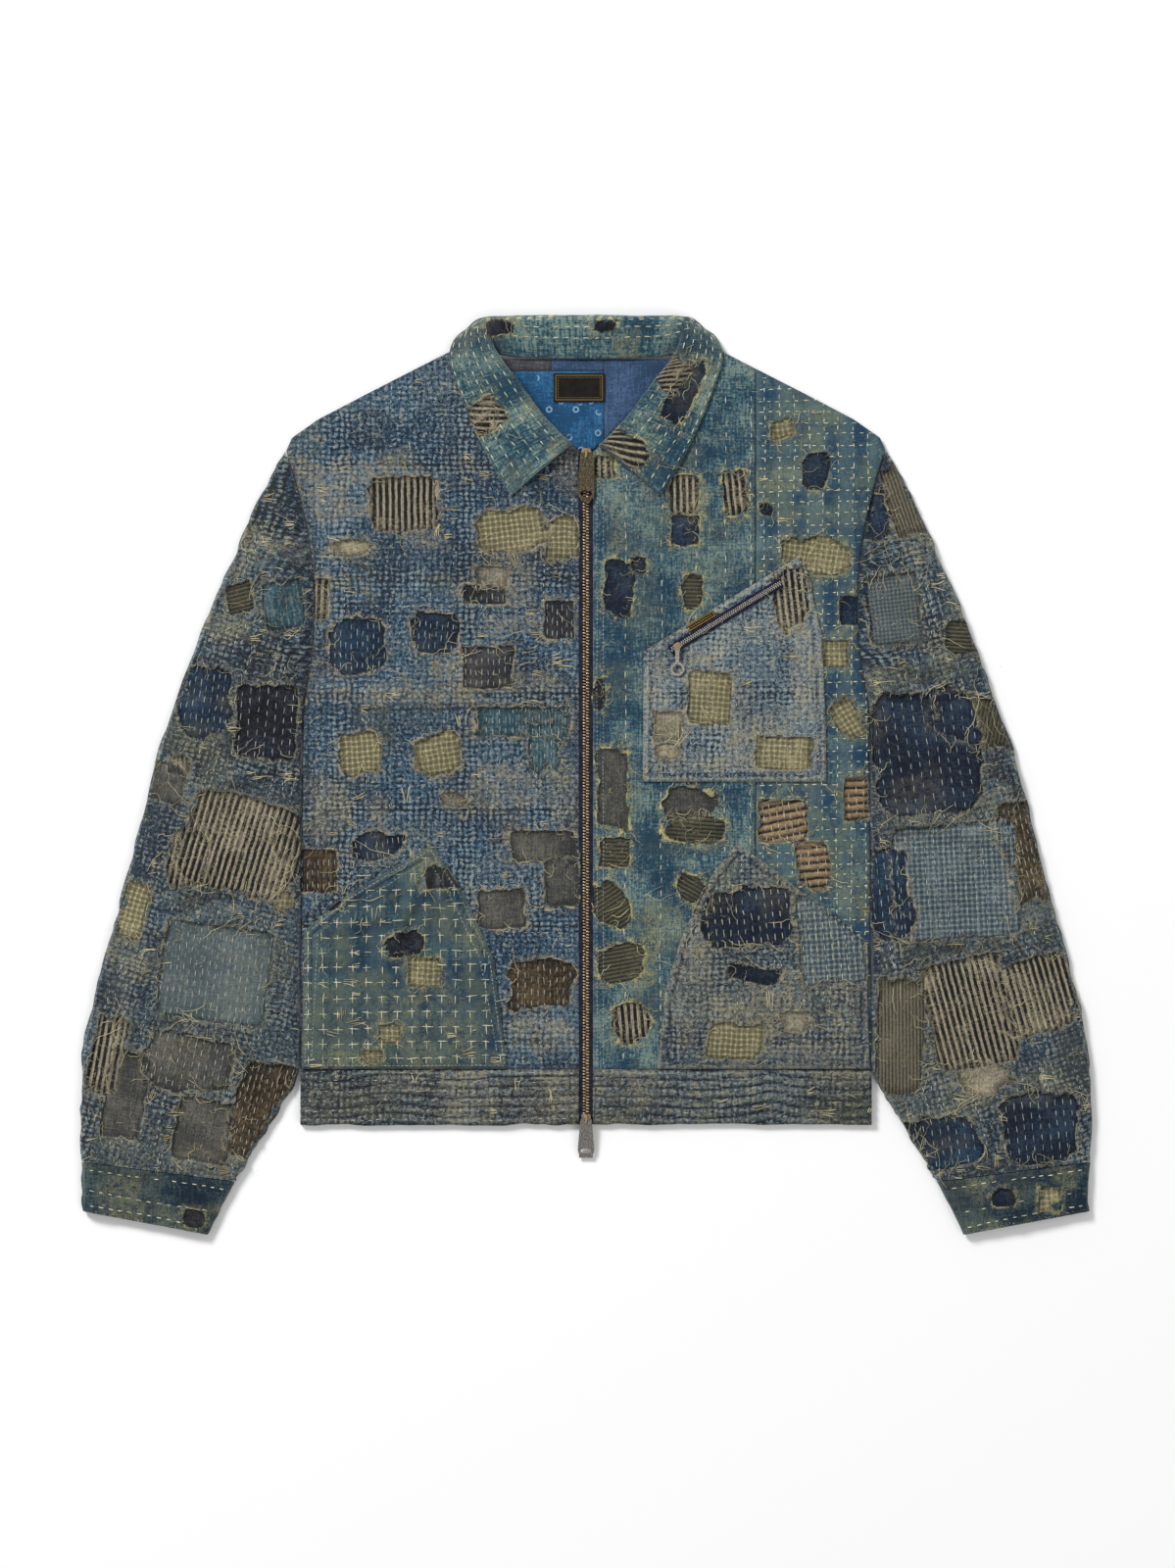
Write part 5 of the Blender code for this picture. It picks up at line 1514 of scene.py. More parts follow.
# %% Finding the cloth's upper face
def tree_of(*names):
    """Trees for casting rays at the finished shape of some pieces."""
    bpy.context.view_layer.update()
    depsgraph = bpy.context.evaluated_depsgraph_get()
    return [BVHTree.FromObject(PIECES[name], depsgraph) for name in names]


def drop(trees, x, y):
    """Height and slope of the highest of some pieces at (x, y), or None."""
    best = None
    for tree in trees:
        place, normal, _, _ = tree.ray_cast(Vector((x, y, 0.06)), Vector((0, 0, -1)))
        if place and (best is None or place.z > best[0]):
            best = (place.z, normal)
    return best


# %% Copying a small part onto many places
def scatter_nodes():
    """Copies an object onto points that carry a turn and a size."""
    tree = bpy.data.node_groups.new("set_on_places", "GeometryNodeTree")
    for name, way, kind in (("Geometry", "INPUT", "Geometry"), ("Part", "INPUT", "Object"),
                            ("Geometry", "OUTPUT", "Geometry")):
        tree.interface.new_socket(name, in_out=way, socket_type="NodeSocket" + kind)
    entry, leave, part, copy, real = (tree.nodes.new(kind) for kind in (
        "NodeGroupInput", "NodeGroupOutput", "GeometryNodeObjectInfo", "GeometryNodeInstanceOnPoints",
        "GeometryNodeRealizeInstances"))
    for name, socket in (("turn", "Rotation"), ("size", "Scale")):
        value = tree.nodes.new("GeometryNodeInputNamedAttribute")
        value.data_type = "FLOAT_VECTOR"
        value.inputs["Name"].default_value = name
        tree.links.new(value.outputs["Attribute"], copy.inputs[socket])
    for source, given, target, taken in (
            (entry, "Geometry", copy, "Points"), (entry, "Part", part, "Object"),
            (part, "Geometry", copy, "Instance"), (copy, "Instances", real, "Geometry"),
            (real, "Geometry", leave, "Geometry")):
        tree.links.new(source.outputs[given], target.inputs[taken])
    return tree


SCATTER = scatter_nodes()


def kept(holder, name):
    """Replaces a holder by the mesh that its modifiers or its curve make, on the jacket."""
    depsgraph = bpy.context.evaluated_depsgraph_get()
    mesh = bpy.data.meshes.new_from_object(holder.evaluated_get(depsgraph), depsgraph=depsgraph)
    bpy.data.objects.remove(holder)
    mesh.name = name
    mesh.shade_smooth()
    piece = add_object(name, mesh)
    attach(piece, "jacket")
    return piece


def set_copies(name, part, places, material):
    """Sets copies of a part on places (spot, turn, size) and joins them."""
    bm = bmesh.new()
    turns, sizes = bm.verts.layers.float_vector.new("turn"), bm.verts.layers.float_vector.new("size")
    for spot, turn, size in places:
        vert = bm.verts.new(spot)
        vert[turns], vert[sizes] = turn, size
    holder = add_object(name + "_places", mesh_of(name + "_places", bm))
    copier = holder.modifiers.new("copies", "NODES")
    copier.node_group = SCATTER
    copier[[item.identifier for item in SCATTER.interface.items_tree if item.name == "Part"][0]] = part
    piece = kept(holder, name)
    piece.data.materials.clear()
    piece.data.materials.append(material)
    print(f"{name}: {len(places)} copies, {len(piece.data.polygons)} faces")
    return piece


def small_part(name, bm):
    """A part to be copied. It isn't shown itself."""
    part = add_object(name, mesh_of(name, bm))
    part.hide_render = True
    return part


# %% One stitch
bm = bmesh.new()
bmesh.ops.create_cone(bm, cap_ends=True, cap_tris=False, segments=4, radius1=0.5, radius2=0.5, depth=1.0,
                      matrix=Matrix.Rotation(pi / 2, 4, "Y"))
long_edges = [edge for edge in bm.edges if abs(edge.verts[0].co.x - edge.verts[1].co.x) > 0.5]
bmesh.ops.subdivide_edges(bm, edges=long_edges, cuts=2)
for vert in bm.verts:
    end = abs(vert.co.x) > 0.4
    vert.co.y *= 0.62 if end else 1.0
    vert.co.z = vert.co.z * (0.55 if end else 1.0) - (0.45 if end else 0.0)
STITCH = small_part("stitch", bm)

# %% Thread finishes
def thread_finish(name, dark, light, size=0.010):
    """Cotton thread: one colour that drifts, and a twist that shows as bump."""
    g, spot = start_thing(name)
    drift = g.span(g.noise(spot, size, 3.0), 0.36, 0.62)
    twist = g.values("TexWave", {"Vector": spot, "Scale": 420.0}, wave_type="BANDS",
                     bands_direction="DIAGONAL")["Fac"]
    colour = g.blend(drift, dark, light)
    colour = g.blend(twist * 0.25, colour, "#4a4a40")
    return end_material(g, colour, twist, 0.0002, Roughness=0.85, Sheen_Weight=0.2)


CREAM_THREAD = thread_finish("cream_thread", "#b4b896", "#f0eac6")
PALE_THREAD = thread_finish("pale_thread", "#87979c", "#cbd2ca")
DARK_THREAD = thread_finish("dark_thread", "#2c333c", "#4a545c")
FRAY_TAN = thread_finish("fray_tan", "#948a66", "#d6cba0", 0.02)
FRAY_PALE = thread_finish("fray_pale", "#7b8b94", "#bcc6c6", 0.02)
FRAY_BLUE = thread_finish("fray_blue", "#26384a", "#566a78", 0.02)

# %% [markdown]
# ### Rows of running stitch
# Some rows run the length of a panel, some make squares, some only hold a scrap. Each
# row is walked from end to end; dashes that would leave the cloth, or fall over a hole
# that they don't belong to, are left out. A hand never sews quite straight, so every
# dash is a little off in place, turn and length.

# %% Sewing rows
draw = np.random.default_rng(2024)


def chance(low, high):
    return float(draw.uniform(low, high))


def sew_row(places, trees, start, end, dash=0.0050, rest=0.0046, width=0.0009, sway=0.0006, keep=None,
            loss=0.06, first=None):
    """Adds the dashes of one row from start to end. first fixes where they begin, so rows cross."""
    (ax, ay), (bx, by) = start, end
    length = hypot(bx - ax, by - ay)
    if length < dash:
        return
    ux, uy = (bx - ax) / length, (by - ay) / length
    along, number = chance(0, rest) if first is None else first, 0
    phase = chance(0, 6)
    while along + dash < length:
        size = dash * chance(0.8, 1.2)
        off = sway * (sin(along * 55 + phase) + chance(-0.4, 0.4))
        mid = along + size / 2
        x, y = ax + ux * mid - uy * off, ay + uy * mid + ux * off
        number += 1
        along += size + rest * chance(0.8, 1.25)
        if first is not None:
            along = first + number * (dash + rest)
        if draw.random() < loss or (keep and not keep(x, y)):
            continue
        found = drop(trees, x, y)
        if not found or found[1].z < 0.5:
            continue
        height, normal = found
        heading = Vector((ux, uy, 0)) + Vector((-uy, ux, 0)) * float(draw.normal(0, 0.06))
        side = normal.cross(heading).normalized()
        forward = side.cross(normal).normalized()
        turn = Matrix((forward, side, normal)).transposed().to_euler()
        places.append(((x, y, height + width * 0.18), turn[:], (size, width, width)))


def sew_path(places, trees, path, dash, rest, **more):
    """Adds dashes at even steps along a curved row."""
    reach = np.concatenate([[0.0], np.cumsum(np.hypot(*np.diff(path[:, :2], axis=0).T))])
    at = 0.0
    while at + dash < reach[-1]:
        ends = [tuple(float(np.interp(spot, reach, path[:, axis])) for axis in (0, 1))
                for spot in (at, at + 1.3 * dash)]
        sew_row(places, trees, *ends, dash=dash, rest=rest, first=0.0, loss=0.03, **more)
        at += dash + rest


def clear_of(table, margin=0.001):
    """Says whether a place is outside every scrap of a table."""
    return lambda x, y: all(off_scrap(scrap, x, y) > margin for scrap in table)


def inside_outline(outline, margin):
    """Says whether a place is inside a convex outline, given counter-clockwise."""

    def keep(x, y):
        return all(((by - ay) * (x - ax) - (bx - ax) * (y - ay)) / hypot(bx - ax, by - ay) < -margin
                   for (ax, ay), (bx, by) in zip(outline, outline[1:] + outline[:1]))

    return keep


def sew_scraps(places, trees, table):
    """Upright rows over each scrap that is held by running stitches."""
    for scrap in [scrap for scrap in table if scrap.rows]:
        c, s = cos(scrap.turn), sin(scrap.turn)
        count = max(1, round(scrap.w / (0.70 * scrap.rows)))
        for number in range(count):
            off = (number + 0.5) / count * scrap.w - scrap.w / 2
            half = scrap.h / 2
            start = (scrap.x + off * c + half * s, scrap.y + off * s - half * c)
            end = (scrap.x + off * c - half * s, scrap.y + off * s + half * c)
            sew_row(places, trees, start, end, dash=0.0058, rest=0.0036, width=0.00055, sway=0.0003,
                    keep=lambda x, y: off_scrap(scrap, x, y) < -0.0012, loss=0.05)


# %% Stitches of the body
right_tree, left_tree, side_tree, chest_tree, low_right_tree, low_left_tree = (
    [tree] for tree in tree_of("front_right", "front_left", "front_left_side", "pocket_chest",
                               "pocket_right", "pocket_left"))
cream, pale, dark = [], [], []
sew_scraps(pale, right_tree, RIGHT_FRONT)
for x, high in ((0.033, 0.275), (0.064, 0.275), (0.094, 0.30), (0.119, 0.33), (0.141, 0.345)):
    sew_row(cream, left_tree, (x, -0.25), (x + 0.002, high), dash=0.0056, rest=0.0050, width=0.0007,
            keep=clear_of(LEFT_FRONT))
SQUARES = {"dash": 0.0040, "rest": 0.0037, "width": 0.0008, "keep": clear_of(LEFT_SIDE)}
for x in np.arange(0.1520, 0.250, 0.0128):
    sew_row(cream, side_tree, (x, -0.250), (x + 0.003, 0.345), **SQUARES)
for y in np.arange(-0.245, 0.345, 0.0098):
    sew_row(cream, side_tree, (0.149, y), (0.250, y + 0.002), **SQUARES)
sew_scraps(cream, side_tree, LEFT_SIDE)
mirror_right = [(-x, y) for x, y in POCKET_RIGHT][::-1]
in_pocket, off_scraps = inside_outline(mirror_right, 0.003), clear_of(POCKET_RIGHT_SCRAPS)
CROSSES = {"dash": 0.0090, "width": 0.0007, "keep": lambda x, y: in_pocket(x, y) and off_scraps(x, y)}
for x in np.arange(-0.240, -0.070, 0.0128):
    sew_row(cream, low_right_tree, (x, -0.252), (x - 0.002, -0.062), rest=0.0042, first=0.0005, **CROSSES)
for y in np.arange(-0.247, -0.062, 0.0132):
    sew_row(cream, low_right_tree, (-0.244, y), (-0.068, y + 0.004), rest=0.0038, first=-0.0005, **CROSSES)
sew_scraps(cream, low_left_tree, POCKET_LEFT_SCRAPS)


def sew_outline(places, trees, outline, insets, **more):
    """Rows that follow a pocket's edge at some distances inside it."""
    middle = Vector(np.mean(outline, axis=0))
    for inset in insets:
        ring = []
        for corner in outline:
            away = Vector(corner) - middle
            ring.append(tuple(middle + away * (1 - inset * 1.35 / away.length)))
        for a, b in zip(ring, ring[1:] + ring[:1]):
            sew_row(places, trees, a, b, **more)


FINE = {"dash": 0.0024, "rest": 0.0012, "width": 0.0005, "sway": 0.0002, "loss": 0.02}
sew_outline(pale, chest_tree, POCKET_CHEST, (0.0030, 0.0085), **FINE)
sew_outline(dark, low_left_tree, POCKET_LEFT, (0.0030, 0.0085), **FINE)
sew_outline(pale, low_right_tree, mirror_right, (0.0028, 0.0090), **FINE)
for side, tree, places in ((-1, right_tree, dark), (1, left_tree, pale)):
    for x in (side * 0.0095, side * 0.0150):
        sew_row(places, tree, (x, -0.252), (x, 0.272), **FINE)
print("stitches so far:", len(cream) + len(pale) + len(dark))

# %% Stitches of the tweed
# Short rows of small dashes all over the tweed, upright for the most part.
for tree, low, high, count, table in (
        (right_tree, (-0.235, -0.24), (-0.02, 0.33), 150, RIGHT_FRONT),
        (chest_tree, (0.055, 0.0), (0.20, 0.17), 34, POCKET_CHEST_SCRAPS),
        (low_left_tree, (0.07, -0.25), (0.24, -0.08), 40, POCKET_LEFT_SCRAPS)):
    for _ in range(count):
        x, y = chance(low[0], high[0]), chance(low[1], high[1])
        reach = chance(0.02, 0.06)
        level = draw.random() < 0.25
        end = (x + reach, y) if level else (x + 0.001, y + reach)
        sew_row(pale, tree, (x, y), end, dash=0.0028, rest=0.0030, width=0.0007, keep=clear_of(table),
                loss=0.2)

# %% Stitches of the sleeves, cuffs, collar and hem
for (side, word), table in zip(SIDES, (RIGHT_SLEEVE, LEFT_SLEEVE)):
    tree = tree_of("sleeve_" + word)
    sew_scraps(pale, tree, table)
    for _ in range(110):
        row = SLEEVE[draw.integers(1, 11)]
        t = chance(0.06, 0.94)
        x, y = side * mix(row.out_x, row.in_x, t), mix(row.out_y, row.in_y, t)
        reach = chance(0.02, 0.06)
        sew_row(pale, tree, (x, y), (x + side * reach * 0.25, y - reach), dash=0.0034, rest=0.0034,
                width=0.0007, keep=clear_of(table), loss=0.15)
    tree = tree_of("cuff_" + word)
    for t in (0.14, 0.58, 0.86):
        out_x, out_y, in_x, in_y = [mix(p, q, t) for p, q in zip(CUFF[0], CUFF[-1])][:4]
        sew_row(cream, tree, (side * (out_x - 0.004), out_y), (side * (in_x + 0.004), in_y), dash=0.0046,
                rest=0.0036, keep=clear_of(CUFF_SCRAPS))
tree = tree_of("collar")
steps = np.linspace(0.012, 0.988, 200)
for across in (0.42, 0.52, 0.62, 0.72, 0.82, 0.95):
    sew_path(cream, tree, np.array(collar_point(np.full_like(steps, across), steps)), 0.0054, 0.0034,
             sway=0.0003, keep=clear_of(COLLAR_SCRAPS), width=0.0008)
for (side, word), places in zip(SIDES, (pale, dark)):
    tree = tree_of("hem_band_" + word)
    for y in np.arange(HEM_Y + 0.0045, HEM_SEAM_Y - 0.002, QUILTING):
        sew_row(places, tree, (side * 0.009, y), (side * 0.245, y), dash=0.0036, rest=0.0032,
                width=0.0006, sway=0.0012, loss=0.25)
for name, places, material in (("cream", cream, CREAM_THREAD), ("pale", pale, PALE_THREAD),
                               ("dark", dark, DARK_THREAD)):
    set_copies("stitches_" + name, STITCH, places, material)

# %% [markdown]
# ## Frayed yarn
# Where a cloth is torn its yarns come loose: short whiskers at every rim, longer ones
# that curl along it, and a few that cross the hole. Each is a short poly curve with a
# little thickness, started on the rim and walked on with a wandering heading. They are
# drawn in one seeded order, so the same jacket comes out on every run.

# %% Walking a strand
yarn = np.random.default_rng(77)
YARN_RADIUS = 0.00021
TWO_YARNS = [FRAY_TAN, FRAY_PALE]
THREE_YARNS = [FRAY_TAN, FRAY_PALE, FRAY_BLUE]


def between(low, high):
    return float(yarn.uniform(low, high))


def strand(trees, x, y, heading, length, steps=4, curl=0.5, lift=0.0006, over=0.0):
    """Points of a loose yarn. It turns back at an edge once it is `over` past it."""
    step = length / steps
    points = []
    last, past = 0.004, 0.0
    for number in range(steps + 1):
        found = drop(trees, x, y)
        past = 0.0 if found else past + step
        if past > over:
            heading += pi
            x += 2 * step * cos(heading)
            y += 2 * step * sin(heading)
            found = drop(trees, x, y)
            if not found and len(points) > 1:
                break
        last = found[0] if found else max(0.0010, last - 0.0004)
        rise = lift * (0.35 + sin(pi * number / steps)) * between(0.6, 1.3)
        points.append((x, y, last + rise))
        heading += float(yarn.normal(0, curl))
        x += step * cos(heading)
        y += step * sin(heading)
    return points


def yarn_piece(name, strands, materials):
    """Makes loose yarns (points, thickness, material number) one mesh."""
    curve = bpy.data.curves.new(name, "CURVE")
    curve.dimensions = "3D"
    curve.bevel_depth = YARN_RADIUS
    curve.bevel_resolution = 0
    for points, width, number in strands:
        spline = curve.splines.new("POLY")
        spline.points.add(len(points) - 1)
        for index, (point, place) in enumerate(zip(spline.points, points)):
            point.co = (*place, 1.0)
            point.radius = width * (0.45 if index in (0, len(points) - 1) else 1.0)
        spline.material_index = number
    for material in materials:
        curve.materials.append(material)
    holder = add_object(name + "_line", curve)
    bpy.context.view_layer.update()
    piece = kept(holder, name)
    print(f"{name}: {len(strands)} strands, {len(piece.data.polygons)} faces")


def rim_places(scrap, count):
    """Places round a scrap's outline, each with the direction away from its middle."""
    angles = np.linspace(0, 2 * pi, count, endpoint=False) + yarn.uniform(0, 0.5)
    reach = np.linspace(0.0, hypot(scrap.w, scrap.h) * 0.75, 60)
    x = scrap.x + np.outer(np.cos(angles), reach)
    y = scrap.y + np.outer(np.sin(angles), reach)
    outside = scrap_distance(scrap, x, y) > 0
    first = np.argmax(outside, axis=1)
    pick = np.arange(count)
    return list(zip(x[pick, first], y[pick, first], angles))


# %% Frays of every rim
def fray_table(trees, table, tan_share):
    """Whiskers, then curled and crossing yarns, for a table of scraps."""
    strands = []
    for scrap in table:
        around = 2 * (scrap.w + scrap.h)
        for x, y, angle in rim_places(scrap, max(8, round(around / 0.0034))):
            if not drop(trees, x, y):
                continue
            tangle = float(ripple(np.array([x]), np.array([y]), 0.016, scrap.seed)[0])
            if yarn.random() > 0.45 + 0.8 * tangle:
                continue
            inward = yarn.random() < 0.35
            heading = angle + (pi if inward else 0) + float(yarn.normal(0, 0.9))
            length = between(0.0020, 0.0055)
            out = between(0.0, 0.0014)
            x, y = x + out * cos(angle), y + out * sin(angle)
            points = strand(trees, x, y, heading, length, 4, 0.7)
            strands.append((points, between(0.4, 0.9), 0 if yarn.random() < tan_share else 1))
        for x, y, angle in rim_places(scrap, max(3, round(around / 0.017))):
            if not drop(trees, x, y):
                continue
            heading = angle + pi / 2 * (1 if yarn.random() < 0.5 else -1) + float(yarn.normal(0, 0.3))
            length = between(0.008, 0.022)
            x, y = x + 0.0006 * cos(angle), y + 0.0006 * sin(angle)
            points = strand(trees, x, y, heading, length, 9, 0.5)
            strands.append((points, between(0.7, 1.3), 0 if yarn.random() < tan_share else 1))
    return strands


POCKETS = ("pocket_right", "pocket_left", "pocket_chest")
for word, names, table, share in (
        ("front_right", ["front_right"], RIGHT_FRONT, 0.35),
        ("front_left", ["front_left"], LEFT_FRONT, 0.85),
        ("front_left_side", ["front_left_side"], LEFT_SIDE, 0.7),
        ("pockets", POCKETS, POCKET_RIGHT_SCRAPS + POCKET_LEFT_SCRAPS + POCKET_CHEST_SCRAPS, 0.6),
        ("sleeve_right", ["sleeve_right"], RIGHT_SLEEVE, 0.35),
        ("sleeve_left", ["sleeve_left"], LEFT_SLEEVE, 0.45),
        ("collar", ["collar"], COLLAR_SCRAPS, 0.7)):
    yarn_piece("frays_" + word, fray_table(tree_of(*names), table, share), TWO_YARNS)

# %% [markdown]
# ### Lint, hairs and long loose ends
# The tweed sheds: short curled hairs stand all over it and break up the outline of the
# sleeves. Last come the long ends, hanging where the mending gave way. Their starts are
# in a table, in millimetres: x, y, heading in degrees and length.

# %% Lint of the tweed
SMOOTH = ("navy", "plum_navy", "blue_patch", "ticking")


def lint(name, trees, count, place, longest=0.0085, weights=(0.3, 0.4, 0.3), table=()):
    """Short curled hairs at seeded places. The smooth scraps of a table stay clean."""
    clean = [scrap for scrap in table if scrap.cloth in SMOOTH]
    strands = []
    for _ in range(count):
        x, y = place()
        if not drop(trees, x, y) or any(off_scrap(scrap, x, y) < 0 for scrap in clean):
            continue
        heading = between(0, 2 * pi)
        points = strand(trees, x, y, heading, between(0.003, longest), 4, 0.9, lift=0.0008)
        strands.append((points, between(0.35, 0.75), int(yarn.choice(3, p=weights))))
    yarn_piece("lint_" + name, strands, THREE_YARNS)


def on_front(side, inner):
    def place():
        y = yarn.uniform(HEM_Y, 0.36)
        return side * yarn.uniform(inner, np.interp(y, EDGE_Y, OUTER_X)), y
    return place


def on_sleeve(side):
    def place():
        row = smooth_through(SLEEVE, np.array([yarn.uniform(0, 11)]))[0]
        t = yarn.uniform(0.0, 1.0)
        return side * mix(row[0], row[2], t), mix(row[1], row[3], t)
    return place


lint("front_right", tree_of("front_right", "pocket_right", "hem_band_right"), 560, on_front(-1, 0.015))
lint("front_left", tree_of("front_left", "front_left_side", "pocket_left", "pocket_chest", "hem_band_left"),
     620, on_front(1, 0.015), weights=(0.5, 0.3, 0.2))
for (side, word), table in zip(SIDES, (RIGHT_SLEEVE, LEFT_SLEEVE)):
    lint("sleeve_" + word, tree_of("sleeve_" + word), 480, on_sleeve(side), longest=0.011,
         weights=(0.20, 0.42, 0.38), table=table)


# %% Hairs along the outlines
def outline_hairs(strands, trees, points, outwards, every=0.0034, longest=0.0050):
    """Hairs that leave an edge, walked along a line of points."""
    for (ax, ay), (bx, by) in zip(points, points[1:]):
        for _ in range(max(1, round(hypot(bx - ax, by - ay) / every))):
            t = yarn.random()
            x, y = mix(ax, bx, t) - outwards[0] * 0.002, mix(ay, by, t) - outwards[1] * 0.002
            heading = float(np.arctan2(outwards[1], outwards[0]) + yarn.normal(0, 0.9))
            hair = strand(trees, x, y, heading, between(0.002, longest), 4, 0.8, 0.0003, 0.0022)
            strands.append((hair, between(0.3, 0.7), int(yarn.integers(3))))


SHOULDER_ROW = 11           # the row of EDGE_Y where the armhole ends and the shoulder starts
for side, word in SIDES:
    strands = []
    trees = tree_of("sleeve_" + word, "cuff_" + word, "front_" + word, "hem_band_" + word)
    edge = list(zip(OUTER_X, EDGE_Y))
    for line, outwards, every, longest in (
            ([row[:2] for row in SLEEVE], (0.95, 0.30), 0.0034, 0.0050),
            ([row[2:4] for row in SLEEVE[7:]], (-0.80, -0.60), 0.0034, 0.0050),
            ([CUFF_END[:2], CUFF_END[2:4]], (0.0, -1.0), 0.0034, 0.0040),
            ([(0.245, HEM_Y), (0.010, HEM_Y)], (0.0, -1.0), 0.006, 0.004),
            (edge[SHOULDER_ROW:], (0.4, 0.9), 0.006, 0.004),
            (edge[1:SHOULDER_ROW + 1], (1.0, 0.0), 0.0024, 0.008)):
        outline_hairs(strands, trees, [(side * x, y) for x, y in line], (side * outwards[0], outwards[1]),
                      every, longest)
    yarn_piece("hairs_" + word, strands, THREE_YARNS)

# %% Long loose ends
LONG_ENDS = """
    -300 -215 250 30 -318 -225 210 26 -250 -60 300 34 -226 -30 220 30 -212 -104 40 36 -160 -75 200 34
    -128 -60 160 40 -150 -90 300 24 -196 -120 250 26 -230 -150 280 22 -62 -150 300 22 -20 -140 250 18
    -75 120 330 26 -40 105 200 24 -110 100 20 22 -170 90 340 22 -95 60 200 26 -28 60 300 20
    -350 130 200 30 -330 100 250 26 -285 170 250 24 -262 100 250 30 -300 20 20 30 -340 -30 160 30
    -360 -60 200 26 -260 -90 250 28 -290 -125 200 36 -380 -150 250 26 -350 -205 330 30 -300 -240 250 34
    -262 -250 250 26 -400 -220 260 24 -330 -270 200 26 -290 -345 200 24 -420 -300 250 20
    255 205 270 40 262 196 250 44 270 190 280 46 258 180 260 34 285 188 300 30 300 120 320 30
    330 70 300 40 345 95 250 36 318 84 200 34 350 60 280 44 262 -30 200 30 300 -55 20 40
    330 -40 340 30 285 -150 200 34 330 -152 330 36 360 -146 350 30 300 -160 160 30 268 -180 280 26
    390 -150 320 30 410 -120 300 26 300 -262 250 30 345 -270 200 34 372 -262 330 28 290 -300 250 34
    286 -310 270 40 300 -322 280 44 320 -330 280 36 275 -290 240 30 426 -270 300 22 400 -340 300 22
    180 180 340 26 205 176 300 22 235 60 320 30 240 45 300 26 30 -110 250 22 55 -160 330 26
    100 -60 300 26 70 -95 200 24 160 -60 340 26 210 -95 320 30 120 -100 250 28 95 -130 260 28
    200 -160 280 22 150 -150 200 26 60 10 250 16 95 80 280 30 90 40 260 34 104 60 290 26
    -92 330 200 16 -70 290 300 14 60 270 320 20 84 310 240 18 96 340 250 20 108 360 300 14
"""
numbers = [float(value) for value in LONG_ENDS.split()]
trees = tree_of("front_right", "front_left", "front_left_side", *POCKETS, "sleeve_right", "sleeve_left",
                "cuff_right", "cuff_left", "collar")
strands = []
for x, y, heading, length in zip(*[iter(numbers)] * 4):
    for _ in range(2):
        px, py = x / 1000 + yarn.normal(0, 0.004), y / 1000 + yarn.normal(0, 0.004)
        turn = radians(heading) + float(yarn.normal(0, 0.35))
        points = strand(trees, px, py, turn, length / 1000 * between(0.6, 1.2), 12, 0.26, lift=0.0012)
        strands.append((points, between(0.7, 1.3), int(yarn.integers(2))))
yarn_piece("long_ends", strands, TWO_YARNS)


# %% Short darns
DARN_PITCH = 0.0017


def darns(name, trees, count, place, table):
    """Thick yarns laid across the cloth in ones, twos and threes, clear of the scraps."""
    strands = []
    clear = clear_of(table, 0.004)
    for _ in range(count):
        x, y = place()
        if not clear(x, y):
            continue
        turn = float(yarn.normal(0, 0.12)) + (pi / 2 if yarn.random() < 0.15 else 0.0)
        length = between(0.006, 0.017)
        for row in range(int(yarn.integers(1, 4))):
            px, py = x - DARN_PITCH * row * sin(turn), y + DARN_PITCH * row * cos(turn)
            share = between(0.55, 1.0)
            if drop(trees, px, py):
                points = strand(trees, px, py, turn, length * share, 6, 0.11, lift=0.0005)
                strands.append((points, between(1.3, 2.3), int(yarn.random() < 0.4)))
    yarn_piece("darns_" + name, strands, TWO_YARNS)


darns("front_right", tree_of("front_right", "pocket_right", "hem_band_right"), 120, on_front(-1, 0.015),
      RIGHT_FRONT + POCKET_RIGHT_SCRAPS)
darns("front_left", tree_of("front_left_side", "pocket_left", "pocket_chest", "hem_band_left"), 50,
      on_front(1, 0.060), LEFT_SIDE + POCKET_LEFT_SCRAPS + POCKET_CHEST_SCRAPS)
for (side, word), table in zip(SIDES, (RIGHT_SLEEVE, LEFT_SLEEVE)):
    darns("sleeve_" + word, tree_of("sleeve_" + word), 110, on_sleeve(side), table)

# %% [markdown]
# ## Zips
# A metal zip is two rows of teeth clamped on tape, and the rows mesh. One tooth is a
# small bevelled block. Copies stand at an even pitch on each side, and the left row is
# half a pitch further on. The tapes, sliders and pulls keep their solids.

# %% Metals
def metal(name, deep, base, light, rough=0.42, grain=0.0016):
    """Worn metal: tarnish in clouds, rubbed bright in spots, with fine scratches."""
    g, spot = start_thing(name)
    cloud = g.noise(spot, grain * 2, 3.0, rough=0.6)
    scratch = g.noise(spot, 0.0004, stretch=(1.0, 0.12))
    colour = g.blend(g.span(cloud, 0.36, 0.60), deep, base)
    colour = g.blend(g.span(scratch, 0.52, 0.70) * 0.6, colour, light)
    return end_material(g, colour, scratch, 0.00006, Metallic=1.0,
                        Roughness=g.span(cloud, 0.3, 0.7, rough + 0.14, rough - 0.08))


BRASS = metal("zip_brass", "#7b684b", "#c6ae84", "#eee0be")
OLD_BRASS = metal("old_brass", "#3d362b", "#6e6351", "#a39880", rough=0.45, grain=0.0009)
STEEL = metal("zip_steel", "#66635e", "#8f8b85", "#cfcac0", grain=0.0007)
BRIGHT_STEEL = metal("bright_steel", "#8b8880", "#c4c0b7", "#f0ece2", grain=0.0007)


